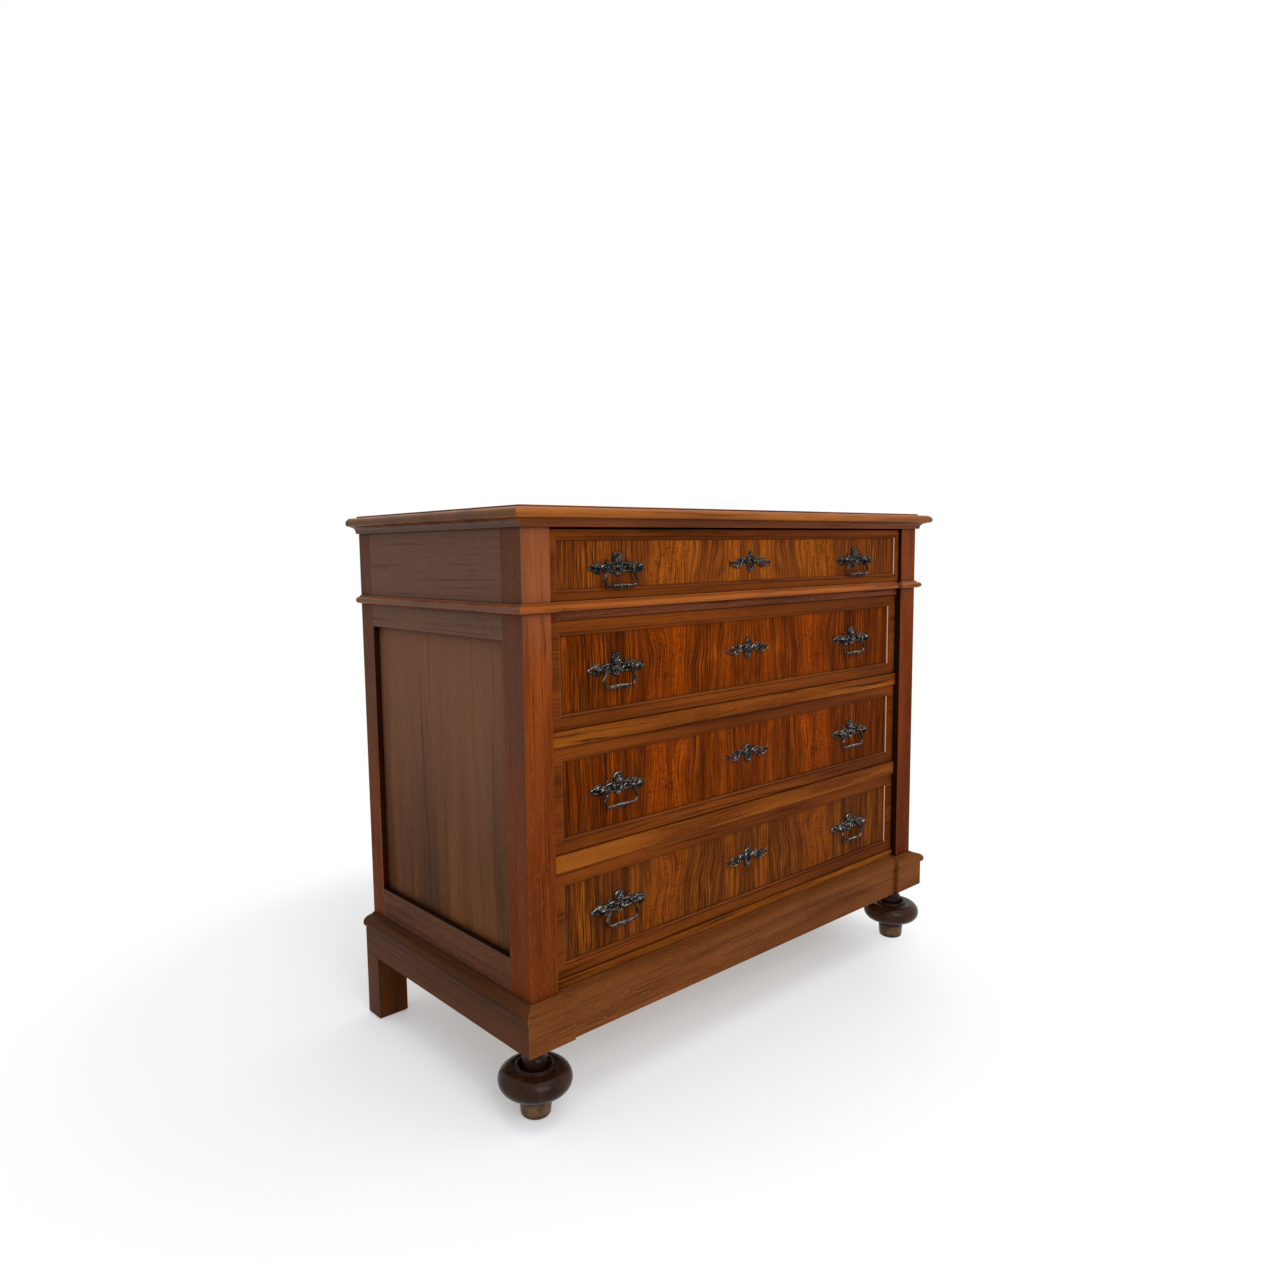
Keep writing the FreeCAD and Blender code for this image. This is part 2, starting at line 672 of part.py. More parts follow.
def drawer_panel(size):
    """The veneered panel with its keyhole."""
    panel = box(-size["panel_x"], size["panel_x"], size["panel_y"], size["panel_y"] + panel_thickness,
                size["panel_z0"], size["panel_z1"])
    return cut_all(panel, [keyhole(size, size["y0"], size["y1"])])


# ---------------------------------------------------------------- pulls and key plates
def both_sides(half_outline):
    """A whole outline from its right half, given from the top middle down to the bottom middle."""
    left = [(-x, z) for x, z in reversed(half_outline[1:-1])]
    return half_outline + left


def sheet(points, depth):
    """A flat piece that stands depth forward of the plane y = 0."""
    return outline(points, lambda x, z: Vector(x, 0, z)).extrude(Vector(0, -depth, 0))


def pierced(x, z, radius):
    """A tool for an opening in a cast plate."""
    turn = 360 / hole_corners
    corners = curve_points((x, z), radius, 90, 90 - 360 + turn, hole_corners - 1)
    return sheet(corners, plate_thickness * 2)


def pierced_both_sides(holes):
    """Tools for openings on the right and their opposites on the left."""
    return [pierced(side * x, z, radius) for side in (-1, 1) for x, z, radius in holes]


def pull_plate():
    """A pierced cast plate: rounded crest, band, pointed boss plates and pendant, with its knobs."""
    boss = boss_spacing / 2
    half = PLATE_UPPER + [(boss + x, z) for x, z in PLATE_BOSS] + PLATE_LOWER
    holes = [pierced(*CREST_HOLE)] + pierced_both_sides(BAND_HOLES)
    plate = cut_all(sheet(both_sides(half), plate_thickness), holes)
    knob = boss_knob()
    return fuse_all([plate, knob, mirrored(knob)])


def boss_knob():
    """The right knob that carries one end of the bail, with the blind hole for its pin."""
    boss, widest = boss_spacing / 2, max(radius for _, radius in KNOB)
    sections = [(0, knob_neck_radius)] + [(boss_standoff + forward, radius) for forward, radius in KNOB]
    knob = faceted(sections, small_turning_sides, lambda h, a, b: Vector(boss + a, -h, b))
    hole_radius = (pin_radius + pin_clearance) / math.cos(math.pi / small_turning_sides)
    hole = faceted([(boss - 2 * widest, hole_radius), (pin_end() + pin_end_play, hole_radius)],
                   small_turning_sides, lambda x, a, b: Vector(x, a - boss_standoff, b))
    return knob.cut(hole)


def pin_end():
    """How far a bail's pin reaches from the middle of its pull."""
    return boss_spacing / 2 + pin_entry


def bail():
    """The drop handle, its pins on the axis y = 0, z = 0, hanging straight down."""
    top, rod_radius = bail_top_half_width, bail_rod_radius
    right = [Vector(top + rod_radius, 0, 0), Vector(top - rod_radius, 0, 0)]
    right += [Vector(x, 0, -drop) for x, drop in BAIL_PATH]
    path = Part.makePolygon(right + [Vector(-p.x, 0, p.z) for p in reversed(right)])
    start = [along_x(right[0].x, a, b) for a, b in ring_points(rod_radius, small_turning_sides)]
    rod = path.makePipeShell([Part.makePolygon(start + start[:1])], True, False, 1)
    pins = []
    for side in (-1, 1):
        pin = [(side * right[0].x, pin_radius), (side * pin_end(), pin_radius)]
        pins.append(faceted(pin, small_turning_sides, along_x))
    return fuse_all([rod, bail_grip()] + pins)


def bail_grip():
    """The turned middle of the bail: a long bead between two collars."""
    sections = [(-x, radius) for x, radius in reversed(GRIP[1:])] + GRIP
    drop = BAIL_PATH[-1][1]
    return faceted(sections, small_turning_sides, lambda x, a, b: Vector(x, a, b - drop))


def key_plate(size):
    """The pierced leaf-shaped key plate, with its keyhole."""
    plate = cut_all(sheet(both_sides(KEY_PLATE), plate_thickness), pierced_both_sides(KEY_PLATE_HOLES))
    plate.translate(Vector(hardware_shift, size["panel_y"], size["key_z"]))
    return cut_all(plate, [keyhole(size, size["panel_y"] - plate_thickness, size["panel_y"])])


def pull_places(size):
    """Middle of the left and the right pull on the panel."""
    reach = drawer_half_width - pull_inset
    return [Vector(hardware_shift + side * reach, size["panel_y"], size["pull_z"]) for side in (-1, 1)]


# ---------------------------------------------------------------- build every node
def build_carcass():
    """All fixed pieces of the chest."""
    rails = {
        "bottom_rail": front_rail(plinth_z, bottom_rail_height),
        "lower_rail": cut_all(front_rail(lower_rail_z, lower_rail_height), [bolt_mortise(4)]),
        "upper_rail": cut_all(front_rail(upper_rail_z, upper_rail_height), [bolt_mortise(3)]),
        "waist_rail": cut_all(front_rail(waist_rail_z, waist_rail_height), [bolt_mortise(2)]),
    }
    panel = side_panel()
    bottom_side_rail = cut_all(side_rail(plinth_z, side_bottom_rail_z), [panel])
    middle_side_rail = cut_all(side_rail(side_middle_rail_z, side_middle_rail_top), [panel])
    upper_board = side_rail(side_middle_rail_top, cornice_z)
    side_frame = [bottom_side_rail, middle_side_rail, upper_board]
    foot = front_foot()
    front_post = box(-half_width, -post_inner, 0, front_post_size, plinth_z, cornice_z)
    front_post = cut_all(front_post, [panel, foot] + side_frame + list(rails.values()))
    boards = back_boards()
    rear_post = box(-half_width, -rear_inner, rear_front, carcass_depth, plinth_z, cornice_z)
    rear_post = cut_all(rear_post, [panel] + side_frame + boards)
    sided = {"front_post": [front_post], "rear_post": [rear_post], "front_foot": [foot],
             "rear_leg": [rear_leg()], "side_frame": side_frame, "side_panel": [panel]}
    for name, shapes in sided.items():
        write_node(name + "_left", shapes)
        write_node(name + "_right", [mirrored(shape) for shape in shapes])
    for name, rail in rails.items():
        write_node(name, [rail])
    plinth_left, plinth_right, plinth_front = plinth()
    write_node("plinth_left", [plinth_left])
    write_node("plinth_right", [plinth_right])
    write_node("plinth_front", plinth_front)
    write_node("waist_moulding", waist_moulding())
    write_node("cornice_frame", cornice_frame())
    write_node("top_slab", [top_slab()])
    write_node("top_field", [top_field()])
    write_node("back_boards", boards)
    write_node("dust_board", [dust_board()])
    runners = [runner(DRAWERS[number][0]) for number in DRAWERS]
    write_node("drawer_runners", runners + [mirrored(piece) for piece in runners])
    write_node("drawer_stops", [stop for number in DRAWERS for stop in drawer_stops(number)])


def build_drawer(number):
    """One drawer with its lock, plates and bails."""
    size = drawer_sizes(number)
    name = "drawer_%d_" % number
    boards = drawer_box(size)
    write_node(name + "front", drawer_front(size, boards))
    write_node(name + "panel", [drawer_panel(size)])
    write_node(name + "box", boards)
    write_node(name + "lock", [lock_case(size)])
    write_node(name + "bolt", [lock_bolt(size)])
    plates = [key_plate(size)]
    for side, place in zip(("left", "right"), pull_places(size)):
        plate = pull_plate()
        plate.translate(place)
        plates.append(plate)
        handle = bail()
        handle.translate(place - Vector(0, boss_standoff, 0))
        write_node(name + "bail_" + side, [handle])
    write_node(name + "plates", plates)


def main():
    """Writes every node's STEP file into parts/."""
    os.makedirs("parts", exist_ok=True)
    build_carcass()
    for number in DRAWERS:
        build_drawer(number)


main()
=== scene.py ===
"""Dressed model of a walnut chest of four long drawers, with turned feet and pierced bail pulls.

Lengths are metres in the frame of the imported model: the origin lies on the floor under the middle
of the chest, X points right, Y back and Z up.
"""

import logging
from dataclasses import dataclass, field, replace
from enum import Enum
from math import cos, pi, radians, sin
from typing import Sequence

import bmesh
import bpy
from mathutils import Matrix, Vector


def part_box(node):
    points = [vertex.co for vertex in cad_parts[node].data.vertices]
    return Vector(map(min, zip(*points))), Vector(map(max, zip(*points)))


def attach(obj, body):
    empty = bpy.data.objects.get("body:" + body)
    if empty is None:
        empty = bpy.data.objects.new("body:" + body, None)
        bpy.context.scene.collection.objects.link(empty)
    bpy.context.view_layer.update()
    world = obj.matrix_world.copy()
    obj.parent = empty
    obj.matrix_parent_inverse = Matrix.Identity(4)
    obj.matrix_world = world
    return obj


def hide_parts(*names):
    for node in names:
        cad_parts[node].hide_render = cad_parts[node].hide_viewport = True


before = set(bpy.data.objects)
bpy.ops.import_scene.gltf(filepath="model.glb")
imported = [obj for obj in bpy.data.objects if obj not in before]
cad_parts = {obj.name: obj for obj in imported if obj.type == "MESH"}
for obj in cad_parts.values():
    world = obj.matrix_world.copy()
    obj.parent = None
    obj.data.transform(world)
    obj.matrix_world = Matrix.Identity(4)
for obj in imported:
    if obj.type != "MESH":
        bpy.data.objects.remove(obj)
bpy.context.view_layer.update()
LOG = logging.getLogger("chest")
DRAWER_NUMBERS = (1, 2, 3, 4)  # from the top down
SIDES = ("left", "right")
SAME_PLACE = 1e-6  # two places nearer than this are one
CAST_SMOOTH = 50.0  # edges of a casting flatter than this, in degrees, are shaded smooth
TURNED_SMOOTH = 40.0  # the same for turned wood
LEAF_DEPTH = 0.35  # the one depth that veneer is drawn at, so that its figure doesn't change with relief
BOARD_STEP = 0.37  # how far the grain moves on from one board to the next
FLAME_PLACE = 0.222  # distance of the golden flame from the middle of a drawer's panel
HEART_PLACE = 0.045  # distance of the narrow golden heart from it

Point = tuple[float, float, float]
Flat = tuple[float, float]
Rgb = tuple[float, float, float]
Socket = bpy.types.NodeSocket
Piece = bpy.types.Object


def srgb(red: float, green: float, blue: float) -> tuple[float, float, float, float]:
    """Turns a colour written as 0-255 into the linear colour that shaders take.

    Args:
        red: Red, 0 to 255.
        green: Green, 0 to 255.
        blue: Blue, 0 to 255.

    Returns:
        Linear red, green, blue and an alpha of 1.
    """
    parts = [value / 255 for value in (red, green, blue)]
    linear = [v / 12.92 if v <= 0.04045 else ((v + 0.055) / 1.055) ** 2.4 for v in parts]
    return (linear[0], linear[1], linear[2], 1.0)


# Painted shade with dirt in shut-in corners of the wood.
CORNER_SHADE_AND_GRIME = srgb(24, 10, 5)
# Colour of painted shade on the faces inside a recess.
RECESS_SHADE = srgb(12, 6, 4)
JOINT_GRIME = srgb(22, 15, 10)
# Painted shade with dirt in the crevices of the castings.
METAL_SHADE_AND_GRIME = srgb(12, 11, 10)
WHITE = (1.0, 1.0, 1.0, 1.0)


def arc(centre: Flat, radius: Flat, start: float, end: float, steps: int) -> list[Flat]:
    """Points along a stretch of an ellipse.

    Args:
        centre: Middle of the ellipse.
        radius: Its reach along the first and the second direction.
        start: Angle of the first point, in degrees.
        end: Angle of the last point, in degrees.
        steps: Number of stretches between the points.

    Returns:
        The points from start to end.
    """
    turns = [radians(start + (end - start) * i / steps) for i in range(steps + 1)]
    return [(centre[0] + radius[0] * cos(t), centre[1] + radius[1] * sin(t)) for t in turns]


# ---------------------------------------------------------------- shaping
class Bench:
    """Edit-mode tools that shape the active piece."""

    @staticmethod
    def take(*pieces: Piece) -> None:
        """Selects only these pieces; the first becomes the active one.

        Args:
            pieces: What is selected; none clears the selection.
        """
        bpy.ops.object.select_all(action="DESELECT")
        for piece in pieces:
            piece.select_set(True)
        if pieces:
            bpy.context.view_layer.objects.active = pieces[0]

    @staticmethod
    def edit() -> None:
        """Goes into edit mode on the active piece."""
        bpy.ops.object.mode_set(mode="EDIT")

    @staticmethod
    def rest() -> None:
        """Goes back to object mode."""
        bpy.ops.object.mode_set(mode="OBJECT")

    @staticmethod
    def ease_front(depth: float, width: float) -> None:
        """Rounds the front edges of a flat plate, in edit mode.

        Args:
            depth: How far the plate's front stands forward of y = 0.
            width: Width of the rounding.
        """
        bpy.ops.mesh.select_mode(type="EDGE")
        bpy.ops.mesh.select_all(action="DESELECT")
        plate = bpy.context.active_object.data
        mesh = bmesh.from_edit_mesh(plate)
        for edge in mesh.edges:
            middle = (edge.verts[0].co + edge.verts[1].co) / 2
            edge.select = abs(middle.y + depth) < SAME_PLACE
        mesh.select_flush_mode()
        bmesh.update_edit_mesh(plate)
        bpy.ops.mesh.bevel(offset=width, segments=2, affect="EDGES")

    @classmethod
    def line(cls, name: str, points: Sequence[Point]) -> Piece:
        """Draws a chain of edges: a tiny plane merged to one corner and extruded from point to point.

        Args:
            name: Name of the new piece.
            points: Places of the chain's corners.

        Returns:
            The piece, left in edit mode.
        """
        cls.take()
        bpy.ops.mesh.primitive_plane_add(size=0.001, location=points[0])
        piece = bpy.context.active_object
        piece.name = piece.data.name = name
        bpy.ops.object.transform_apply(location=True, rotation=False, scale=False)
        cls.edit()
        bpy.ops.mesh.select_mode(type="VERT")
        bpy.ops.mesh.select_all(action="SELECT")
        bpy.ops.mesh.merge(type="CENTER")
        for here, there in zip(points, points[1:]):
            step = Vector(there) - Vector(here)
            bpy.ops.mesh.extrude_vertices_move(TRANSFORM_OT_translate={"value": step})
        return piece

    @classmethod
    def close_skin(cls) -> None:
        """Merges doubles and turns every face outwards, in edit mode."""
        bpy.ops.mesh.select_all(action="SELECT")
        bpy.ops.mesh.remove_doubles(threshold=SAME_PLACE)
        bpy.ops.mesh.normals_make_consistent(inside=False)

    @classmethod
    def prism(cls, name: str, points: Sequence[Point], along: Vector) -> Piece:
        """Extrudes an outline into a solid bar.

        Args:
            name: Name of the new piece.
            points: Corners of the outline.
            along: Direction and length of the extrusion.

        Returns:
            The piece, left in edit mode.
        """
        piece = cls.line(name, points)
        bpy.ops.mesh.select_all(action="SELECT")
        bpy.ops.mesh.edge_face_add()
        bpy.ops.mesh.extrude_region_move(TRANSFORM_OT_translate={"value": along})
        cls.close_skin()
        return piece

    @classmethod
    def turned(cls, name: str, points: Sequence[Point], centre: Vector, axis: Vector, steps: int) -> Piece:
        """Spins a profile round an axis, as on a lathe.

        Args:
            name: Name of the new piece.
            points: The profile; its first and last points lie on the axis.
            centre: A point on the axis.
            axis: Direction of the axis.
            steps: Number of flats in a full turn.

        Returns:
            The piece, left in object mode.
        """
        piece = cls.line(name, points)
        bpy.ops.mesh.select_all(action="SELECT")
        bpy.ops.mesh.spin(steps=steps, angle=2 * pi, center=centre, axis=axis)
        cls.close_skin()
        cls.rest()
        return piece

    @classmethod
    def cut(cls, point: Vector, normal: Vector) -> None:
        """Saws the piece in edit mode and closes the end; what lies along the normal is removed."""
        bpy.ops.mesh.select_all(action="SELECT")
        bpy.ops.mesh.bisect(plane_co=point, plane_no=normal, use_fill=True, clear_outer=True)

    @classmethod
    def join(cls, name: str, pieces: Sequence[Piece]) -> Piece:
        """Joins pieces into one.

        Args:
            name: Name of the result.
            pieces: What is joined; they must be in object mode.

        Returns:
            The joined piece.
        """
        cls.take(*pieces)
        if len(pieces) > 1:
            bpy.ops.object.join()
        piece = bpy.context.active_object
        piece.name = piece.data.name = name
        return piece

    @classmethod
    def copy(cls, piece: Piece, name: str, step: Vector) -> Piece:
        """Copies a piece with its own mesh and moves the copy.

        Args:
            piece: The piece to repeat.
            name: Name of the copy.
            step: How far the copy moves.

        Returns:
            The copy, its place in its mesh.
        """
        cls.take(piece)
        bpy.ops.object.duplicate(linked=False)
        bpy.ops.transform.translate(value=step)
        bpy.ops.object.transform_apply(location=True, rotation=False, scale=False)
        twin = bpy.context.active_object
        twin.name = twin.data.name = name
        return twin

    @classmethod
    def mirror_x(cls, piece: Piece, name: str) -> Piece:
        """Makes the opposite-handed copy of a piece, mirrored in the plane x = 0.

        Args:
            piece: The piece to mirror.
            name: Name of the copy.

        Returns:
            The mirrored copy.
        """
        twin = cls.copy(piece, name, Vector((0, 0, 0)))
        cls.edit()
        bpy.ops.mesh.select_all(action="SELECT")
        bpy.ops.transform.mirror(constraint_axis=(True, False, False), center_override=(0, 0, 0))
        bpy.ops.mesh.normals_make_consistent(inside=False)
        cls.rest()
        return twin

    @classmethod
    def subtract(cls, piece: Piece, tool: Piece) -> None:
        """Cuts one piece with another by an applied Boolean, and throws the tool away.

        Args:
            piece: The piece to cut.
            tool: The shape to take out of it.
        """
        cls.take(piece)
        cut = piece.modifiers.new("opening", "BOOLEAN")
        cut.operation, cut.object, cut.solver = "DIFFERENCE", tool, "EXACT"
        bpy.ops.object.modifier_apply(modifier=cut.name)
        cls.discard(tool)

    @classmethod
    def discard(cls, *pieces: Piece) -> None:
        """Throws pieces away."""
        cls.take(*pieces)
        bpy.ops.object.delete()

    @classmethod
    def deliver(cls, piece: Piece, finish: bpy.types.Material, body: str, slot: str,
                stands_for: Sequence[str] = (), smooth: float = 32.0) -> None:
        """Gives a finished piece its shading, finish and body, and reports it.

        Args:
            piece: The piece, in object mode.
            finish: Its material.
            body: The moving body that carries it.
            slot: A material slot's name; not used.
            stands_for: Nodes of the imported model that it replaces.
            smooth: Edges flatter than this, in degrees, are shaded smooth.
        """
        cls.take(piece)
        bpy.ops.object.shade_smooth_by_angle(angle=radians(smooth))
        piece.data.materials.clear()
        piece.data.materials.append(finish)
        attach(piece, body)
        if stands_for:
            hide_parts(*stands_for)
        LOG.info("%s: %d faces on %s", piece.name, len(piece.data.polygons), body)


# ---------------------------------------------------------------- node work
@dataclass
class Nodes:
    """Places and links nodes in one tree."""

    tree: bpy.types.NodeTree

    @classmethod
    def blank(cls, owner: bpy.types.Material | bpy.types.World) -> "Nodes":
        """Starts the node tree of a material or a world from nothing.

        Args:
            owner: The material or the world.

        Returns:
            Tool for its empty tree.
        """
        owner.use_nodes = True
        owner.node_tree.nodes.clear()
        return cls(owner.node_tree)

    def put(self, kind: str, settings: dict | None = None, **sockets: object) -> bpy.types.Node:
        """Adds a node, sets its options and feeds its inputs.

        Args:
            kind: Type of node.
            settings: Options of the node.
            sockets: Inputs by name, with _ for a space: a socket to link or a value to set.

        Returns:
            The new node.
        """
        node = self.tree.nodes.new(kind)
        for option, value in (settings or {}).items():
            setattr(node, option, value)
        for name, value in sockets.items():
            self.feed(node.inputs[name.replace("_", " ")], value)
        return node

    def feed(self, socket: Socket, value: object) -> None:
        """Links a socket, or sets its value.

        Args:
            socket: The input.
            value: An output to link it to, or the value to set.
        """
        if isinstance(value, Socket):
            self.tree.links.new(value, socket)
        else:
            socket.default_value = value

    def sum(self, operation: str, *values: object, clamp: bool = False) -> Socket:
        """Does one step of arithmetic.

        Args:
            operation: Name of the Math operation.
            values: Its operands, sockets or numbers.
            clamp: Whether the result is kept between 0 and 1.

        Returns:
            The result's socket.
        """
        node = self.put("ShaderNodeMath", {"operation": operation, "use_clamp": clamp})
        for socket, value in zip(node.inputs, values):
            self.feed(socket, value)
        return node.outputs[0]

    def vector(self, operation: str, *vectors: object, scale: object = 1.0) -> Socket:
        """Does one step of vector arithmetic.

        Args:
            operation: Name of the Vector Math operation.
            vectors: Its operands, sockets or triples.
            scale: The factor of SCALE.

        Returns:
            The result's socket.
        """
        node = self.put("ShaderNodeVectorMath", {"operation": operation})
        for socket, value in zip(node.inputs, vectors):
            self.feed(socket, value)
        if operation == "SCALE":
            self.feed(node.inputs["Scale"], scale)
        return node.outputs["Value" if operation in ("DOT_PRODUCT", "DISTANCE") else "Vector"]

    def split(self, vector: object) -> bpy.types.NodeOutputs:
        """Splits a vector into X, Y and Z."""
        return self.put("ShaderNodeSeparateXYZ", Vector=vector).outputs

    def join(self, **parts: object) -> Socket:
        """Makes a vector of X, Y and Z; what is left out is 0."""
        return self.put("ShaderNodeCombineXYZ", **parts).outputs[0]

    def flat_normal(self) -> Socket:
        """The direction that the bare face looks in, without shading or relief."""
        return self.put("ShaderNodeNewGeometry").outputs["True Normal"]

    def blend(self, share: object, first: object, second: object) -> Socket:
        """Mixes two colours.

        Args:
            share: How much of the second colour shows.
            first: The first colour.
            second: The second colour.

        Returns:
            The mixed colour's socket.
        """
        node = self.put("ShaderNodeMix", {"data_type": "RGBA"})
        for index, value in ((0, share), (6, first), (7, second)):
            self.feed(node.inputs[index], value)
        return node.outputs[2]

    def ramp(self, value: object, low: float, high: float, to_low: float = 0.0,
             to_high: float = 1.0) -> Socket:
        """Stretches a range of values smoothly onto another, clamped at both ends.

        Args:
            value: The socket to stretch.
            low: Input that gives to_low.
            high: Input that gives to_high.
            to_low: Output at the low end.
            to_high: Output at the high end.

        Returns:
            The stretched value's socket.
        """
        node = self.put("ShaderNodeMapRange", {"interpolation_type": "SMOOTHSTEP"})
        for index, number in enumerate((value, low, high, to_low, to_high)):
            self.feed(node.inputs[index], number)
        return node.outputs[0]

    def noise(self, place: object, scale: float, detail: float = 2.0, rough: float = 0.5,
              bend: float = 0.0) -> Socket:
        """Adds soft noise.

        Args:
            place: The coordinates.
            scale: How fine it is.
            detail: Levels of finer noise in it.
            rough: Strength of the finer levels.
            bend: Distortion.

        Returns:
            The noise's value socket.
        """
        node = self.put("ShaderNodeTexNoise", Vector=place, Scale=scale, Detail=detail, Roughness=rough,
                        Distortion=bend)
        return node.outputs["Fac"]

    def stretch(self, place: object, across: float, deep: float, along: float) -> Socket:
        """Scales coordinates along each of their three directions."""
        return self.vector("MULTIPLY", place, (across, deep, along))


@dataclass(frozen=True)
class Effect:
    """A shader node group: its name, its number inputs beside Place with their usual values, its outputs."""

    name: str
    inputs: dict[str, float]
    outputs: tuple[str, ...]

    def build(self) -> bpy.types.NodeTree:
        """Gives the node group, drawing it when it is asked for the first time.

        Returns:
            The node group.
        """
        found = bpy.data.node_groups.get(self.name)
        if found:
            return found
        tree = bpy.data.node_groups.new(self.name, "ShaderNodeTree")
        tree.interface.new_socket("Place", in_out="INPUT", socket_type="NodeSocketVector")
        for name, usual in self.inputs.items():
            socket = tree.interface.new_socket(name, in_out="INPUT", socket_type="NodeSocketFloat")
            socket.default_value = usual
        for name in self.outputs:
            tree.interface.new_socket(name, in_out="OUTPUT", socket_type="NodeSocketFloat")
        entry = tree.nodes.new("NodeGroupInput")
        exit_node = tree.nodes.new("NodeGroupOutput")
        results = self.draw(Nodes(tree), entry.outputs)
        for name, value in zip(self.outputs, results):
            tree.links.new(value, exit_node.inputs[name])
        return tree

    def draw(self, nodes: Nodes, given: bpy.types.NodeOutputs) -> Sequence[Socket]:
        """Draws the group's inside; each effect has its own way.

        Args:
            nodes: Tool for the group's tree.
            given: The group's inputs.

        Returns:
            The sockets for the outputs, in order.
        """
        raise NotImplementedError

    def use(self, nodes: Nodes, **values: object) -> bpy.types.Node:
        """Places the group in a material.

        Args:
            nodes: Tool for the material's tree.
            values: Inputs by name, with _ for a space.

        Returns:
            The group node.
        """
        return nodes.put("ShaderNodeGroup", {"node_tree": self.build()}, **values)


class GrainEffect(Effect):
    """Wood grain that runs along Z: broad tone, dark streaks, pores and their relief."""

    def draw(self, nodes: Nodes, given: bpy.types.NodeOutputs) -> Sequence[Socket]:
        """Draws warped, stretched noise in three widths.

        Args:
            nodes: Tool for the group's tree.
            given: Place, Wander, Streak Width and Contrast.

        Returns:
            Tone, Streaks, Pores and Relief.
        """
        place = given["Place"]
        bend = nodes.put("ShaderNodeTexNoise", Vector=nodes.stretch(place, 5.0, 5.0, 2.2), Scale=1.0,
                         Detail=1.5)
        centred = nodes.vector("SUBTRACT", bend.outputs["Color"], (0.5, 0.5, 0.5))
        bent = nodes.vector("ADD", place, nodes.vector("SCALE", centred, scale=given["Wander"]))
        tone = nodes.ramp(nodes.noise(nodes.stretch(bent, 17.0, 17.0, 1.6), 1.0, 3.0, 0.55), 0.3, 0.7)
        drawn_out = nodes.vector("SCALE", nodes.stretch(bent, 1.0, 1.0, 0.018), scale=given["Streak Width"])
        broad = nodes.noise(drawn_out, 1.0, 3.0, 0.62)
        fine = nodes.noise(nodes.stretch(bent, 620.0, 620.0, 9.0), 1.0, 2.0, 0.6)
        streaks = nodes.sum("MAXIMUM", nodes.ramp(broad, 0.5, 0.72), nodes.ramp(fine, 0.52, 0.78, 0.0, 0.75))
        streaks = nodes.sum("MULTIPLY", streaks, given["Contrast"], clamp=True)
        pores = nodes.ramp(nodes.noise(nodes.stretch(bent, 1500.0, 1500.0, 70.0), 1.0, 1.0), 0.6, 0.72)
        relief = nodes.sum("SUBTRACT", nodes.sum("MULTIPLY", fine, 0.4), nodes.sum("MULTIPLY", pores, 0.6))
        return tone, streaks, pores, relief


class WearAndShadingEffect(Effect):
    """Where a piece is worn on its edges and takes painted light there, and where dirt and painted shade sit
    in its corners.
    """

    def draw(self, nodes: Nodes, given: bpy.types.NodeOutputs) -> Sequence[Socket]:
        """Compares the eased edge with the true one, and looks for shut-in corners.

        Args:
            nodes: Tool for the group's tree.
            given: Place, Edge Width, Corner Reach and Patchiness.

        Returns:
            Edges and Corners.
        """
        patchy = nodes.noise(given["Place"], 38.0, 4.0, 0.65)
        eased = nodes.put("ShaderNodeBevel", {"samples": 4}, Radius=given["Edge Width"])
        same_way = nodes.vector("DOT_PRODUCT", eased.outputs[0], nodes.flat_normal())
        turn = nodes.sum("SUBTRACT", 1.0, same_way, clamp=True)
        open_air = nodes.put("ShaderNodeAmbientOcclusion", {"samples": 4}, Distance=given["Corner Reach"])
        open_air = open_air.outputs["AO"]
        # Shut-in corners, where the finishes paint dirt together with shade.
        shut = nodes.ramp(open_air, 0.85, 0.35)
        # Convex edges in the open, which the finishes paint as worn edges with painted light.
        worn_and_lit = nodes.sum("MULTIPLY", nodes.ramp(turn, 0.015, 0.2), nodes.ramp(open_air, 0.55, 0.85))
        missed = nodes.sum("MULTIPLY", given["Patchiness"], nodes.ramp(patchy, 0.4, 0.6, -1.0, 0.0))
        worn = nodes.sum("ADD", 1.0, missed)
        return nodes.sum("MULTIPLY", worn_and_lit, worn, clamp=True), shut


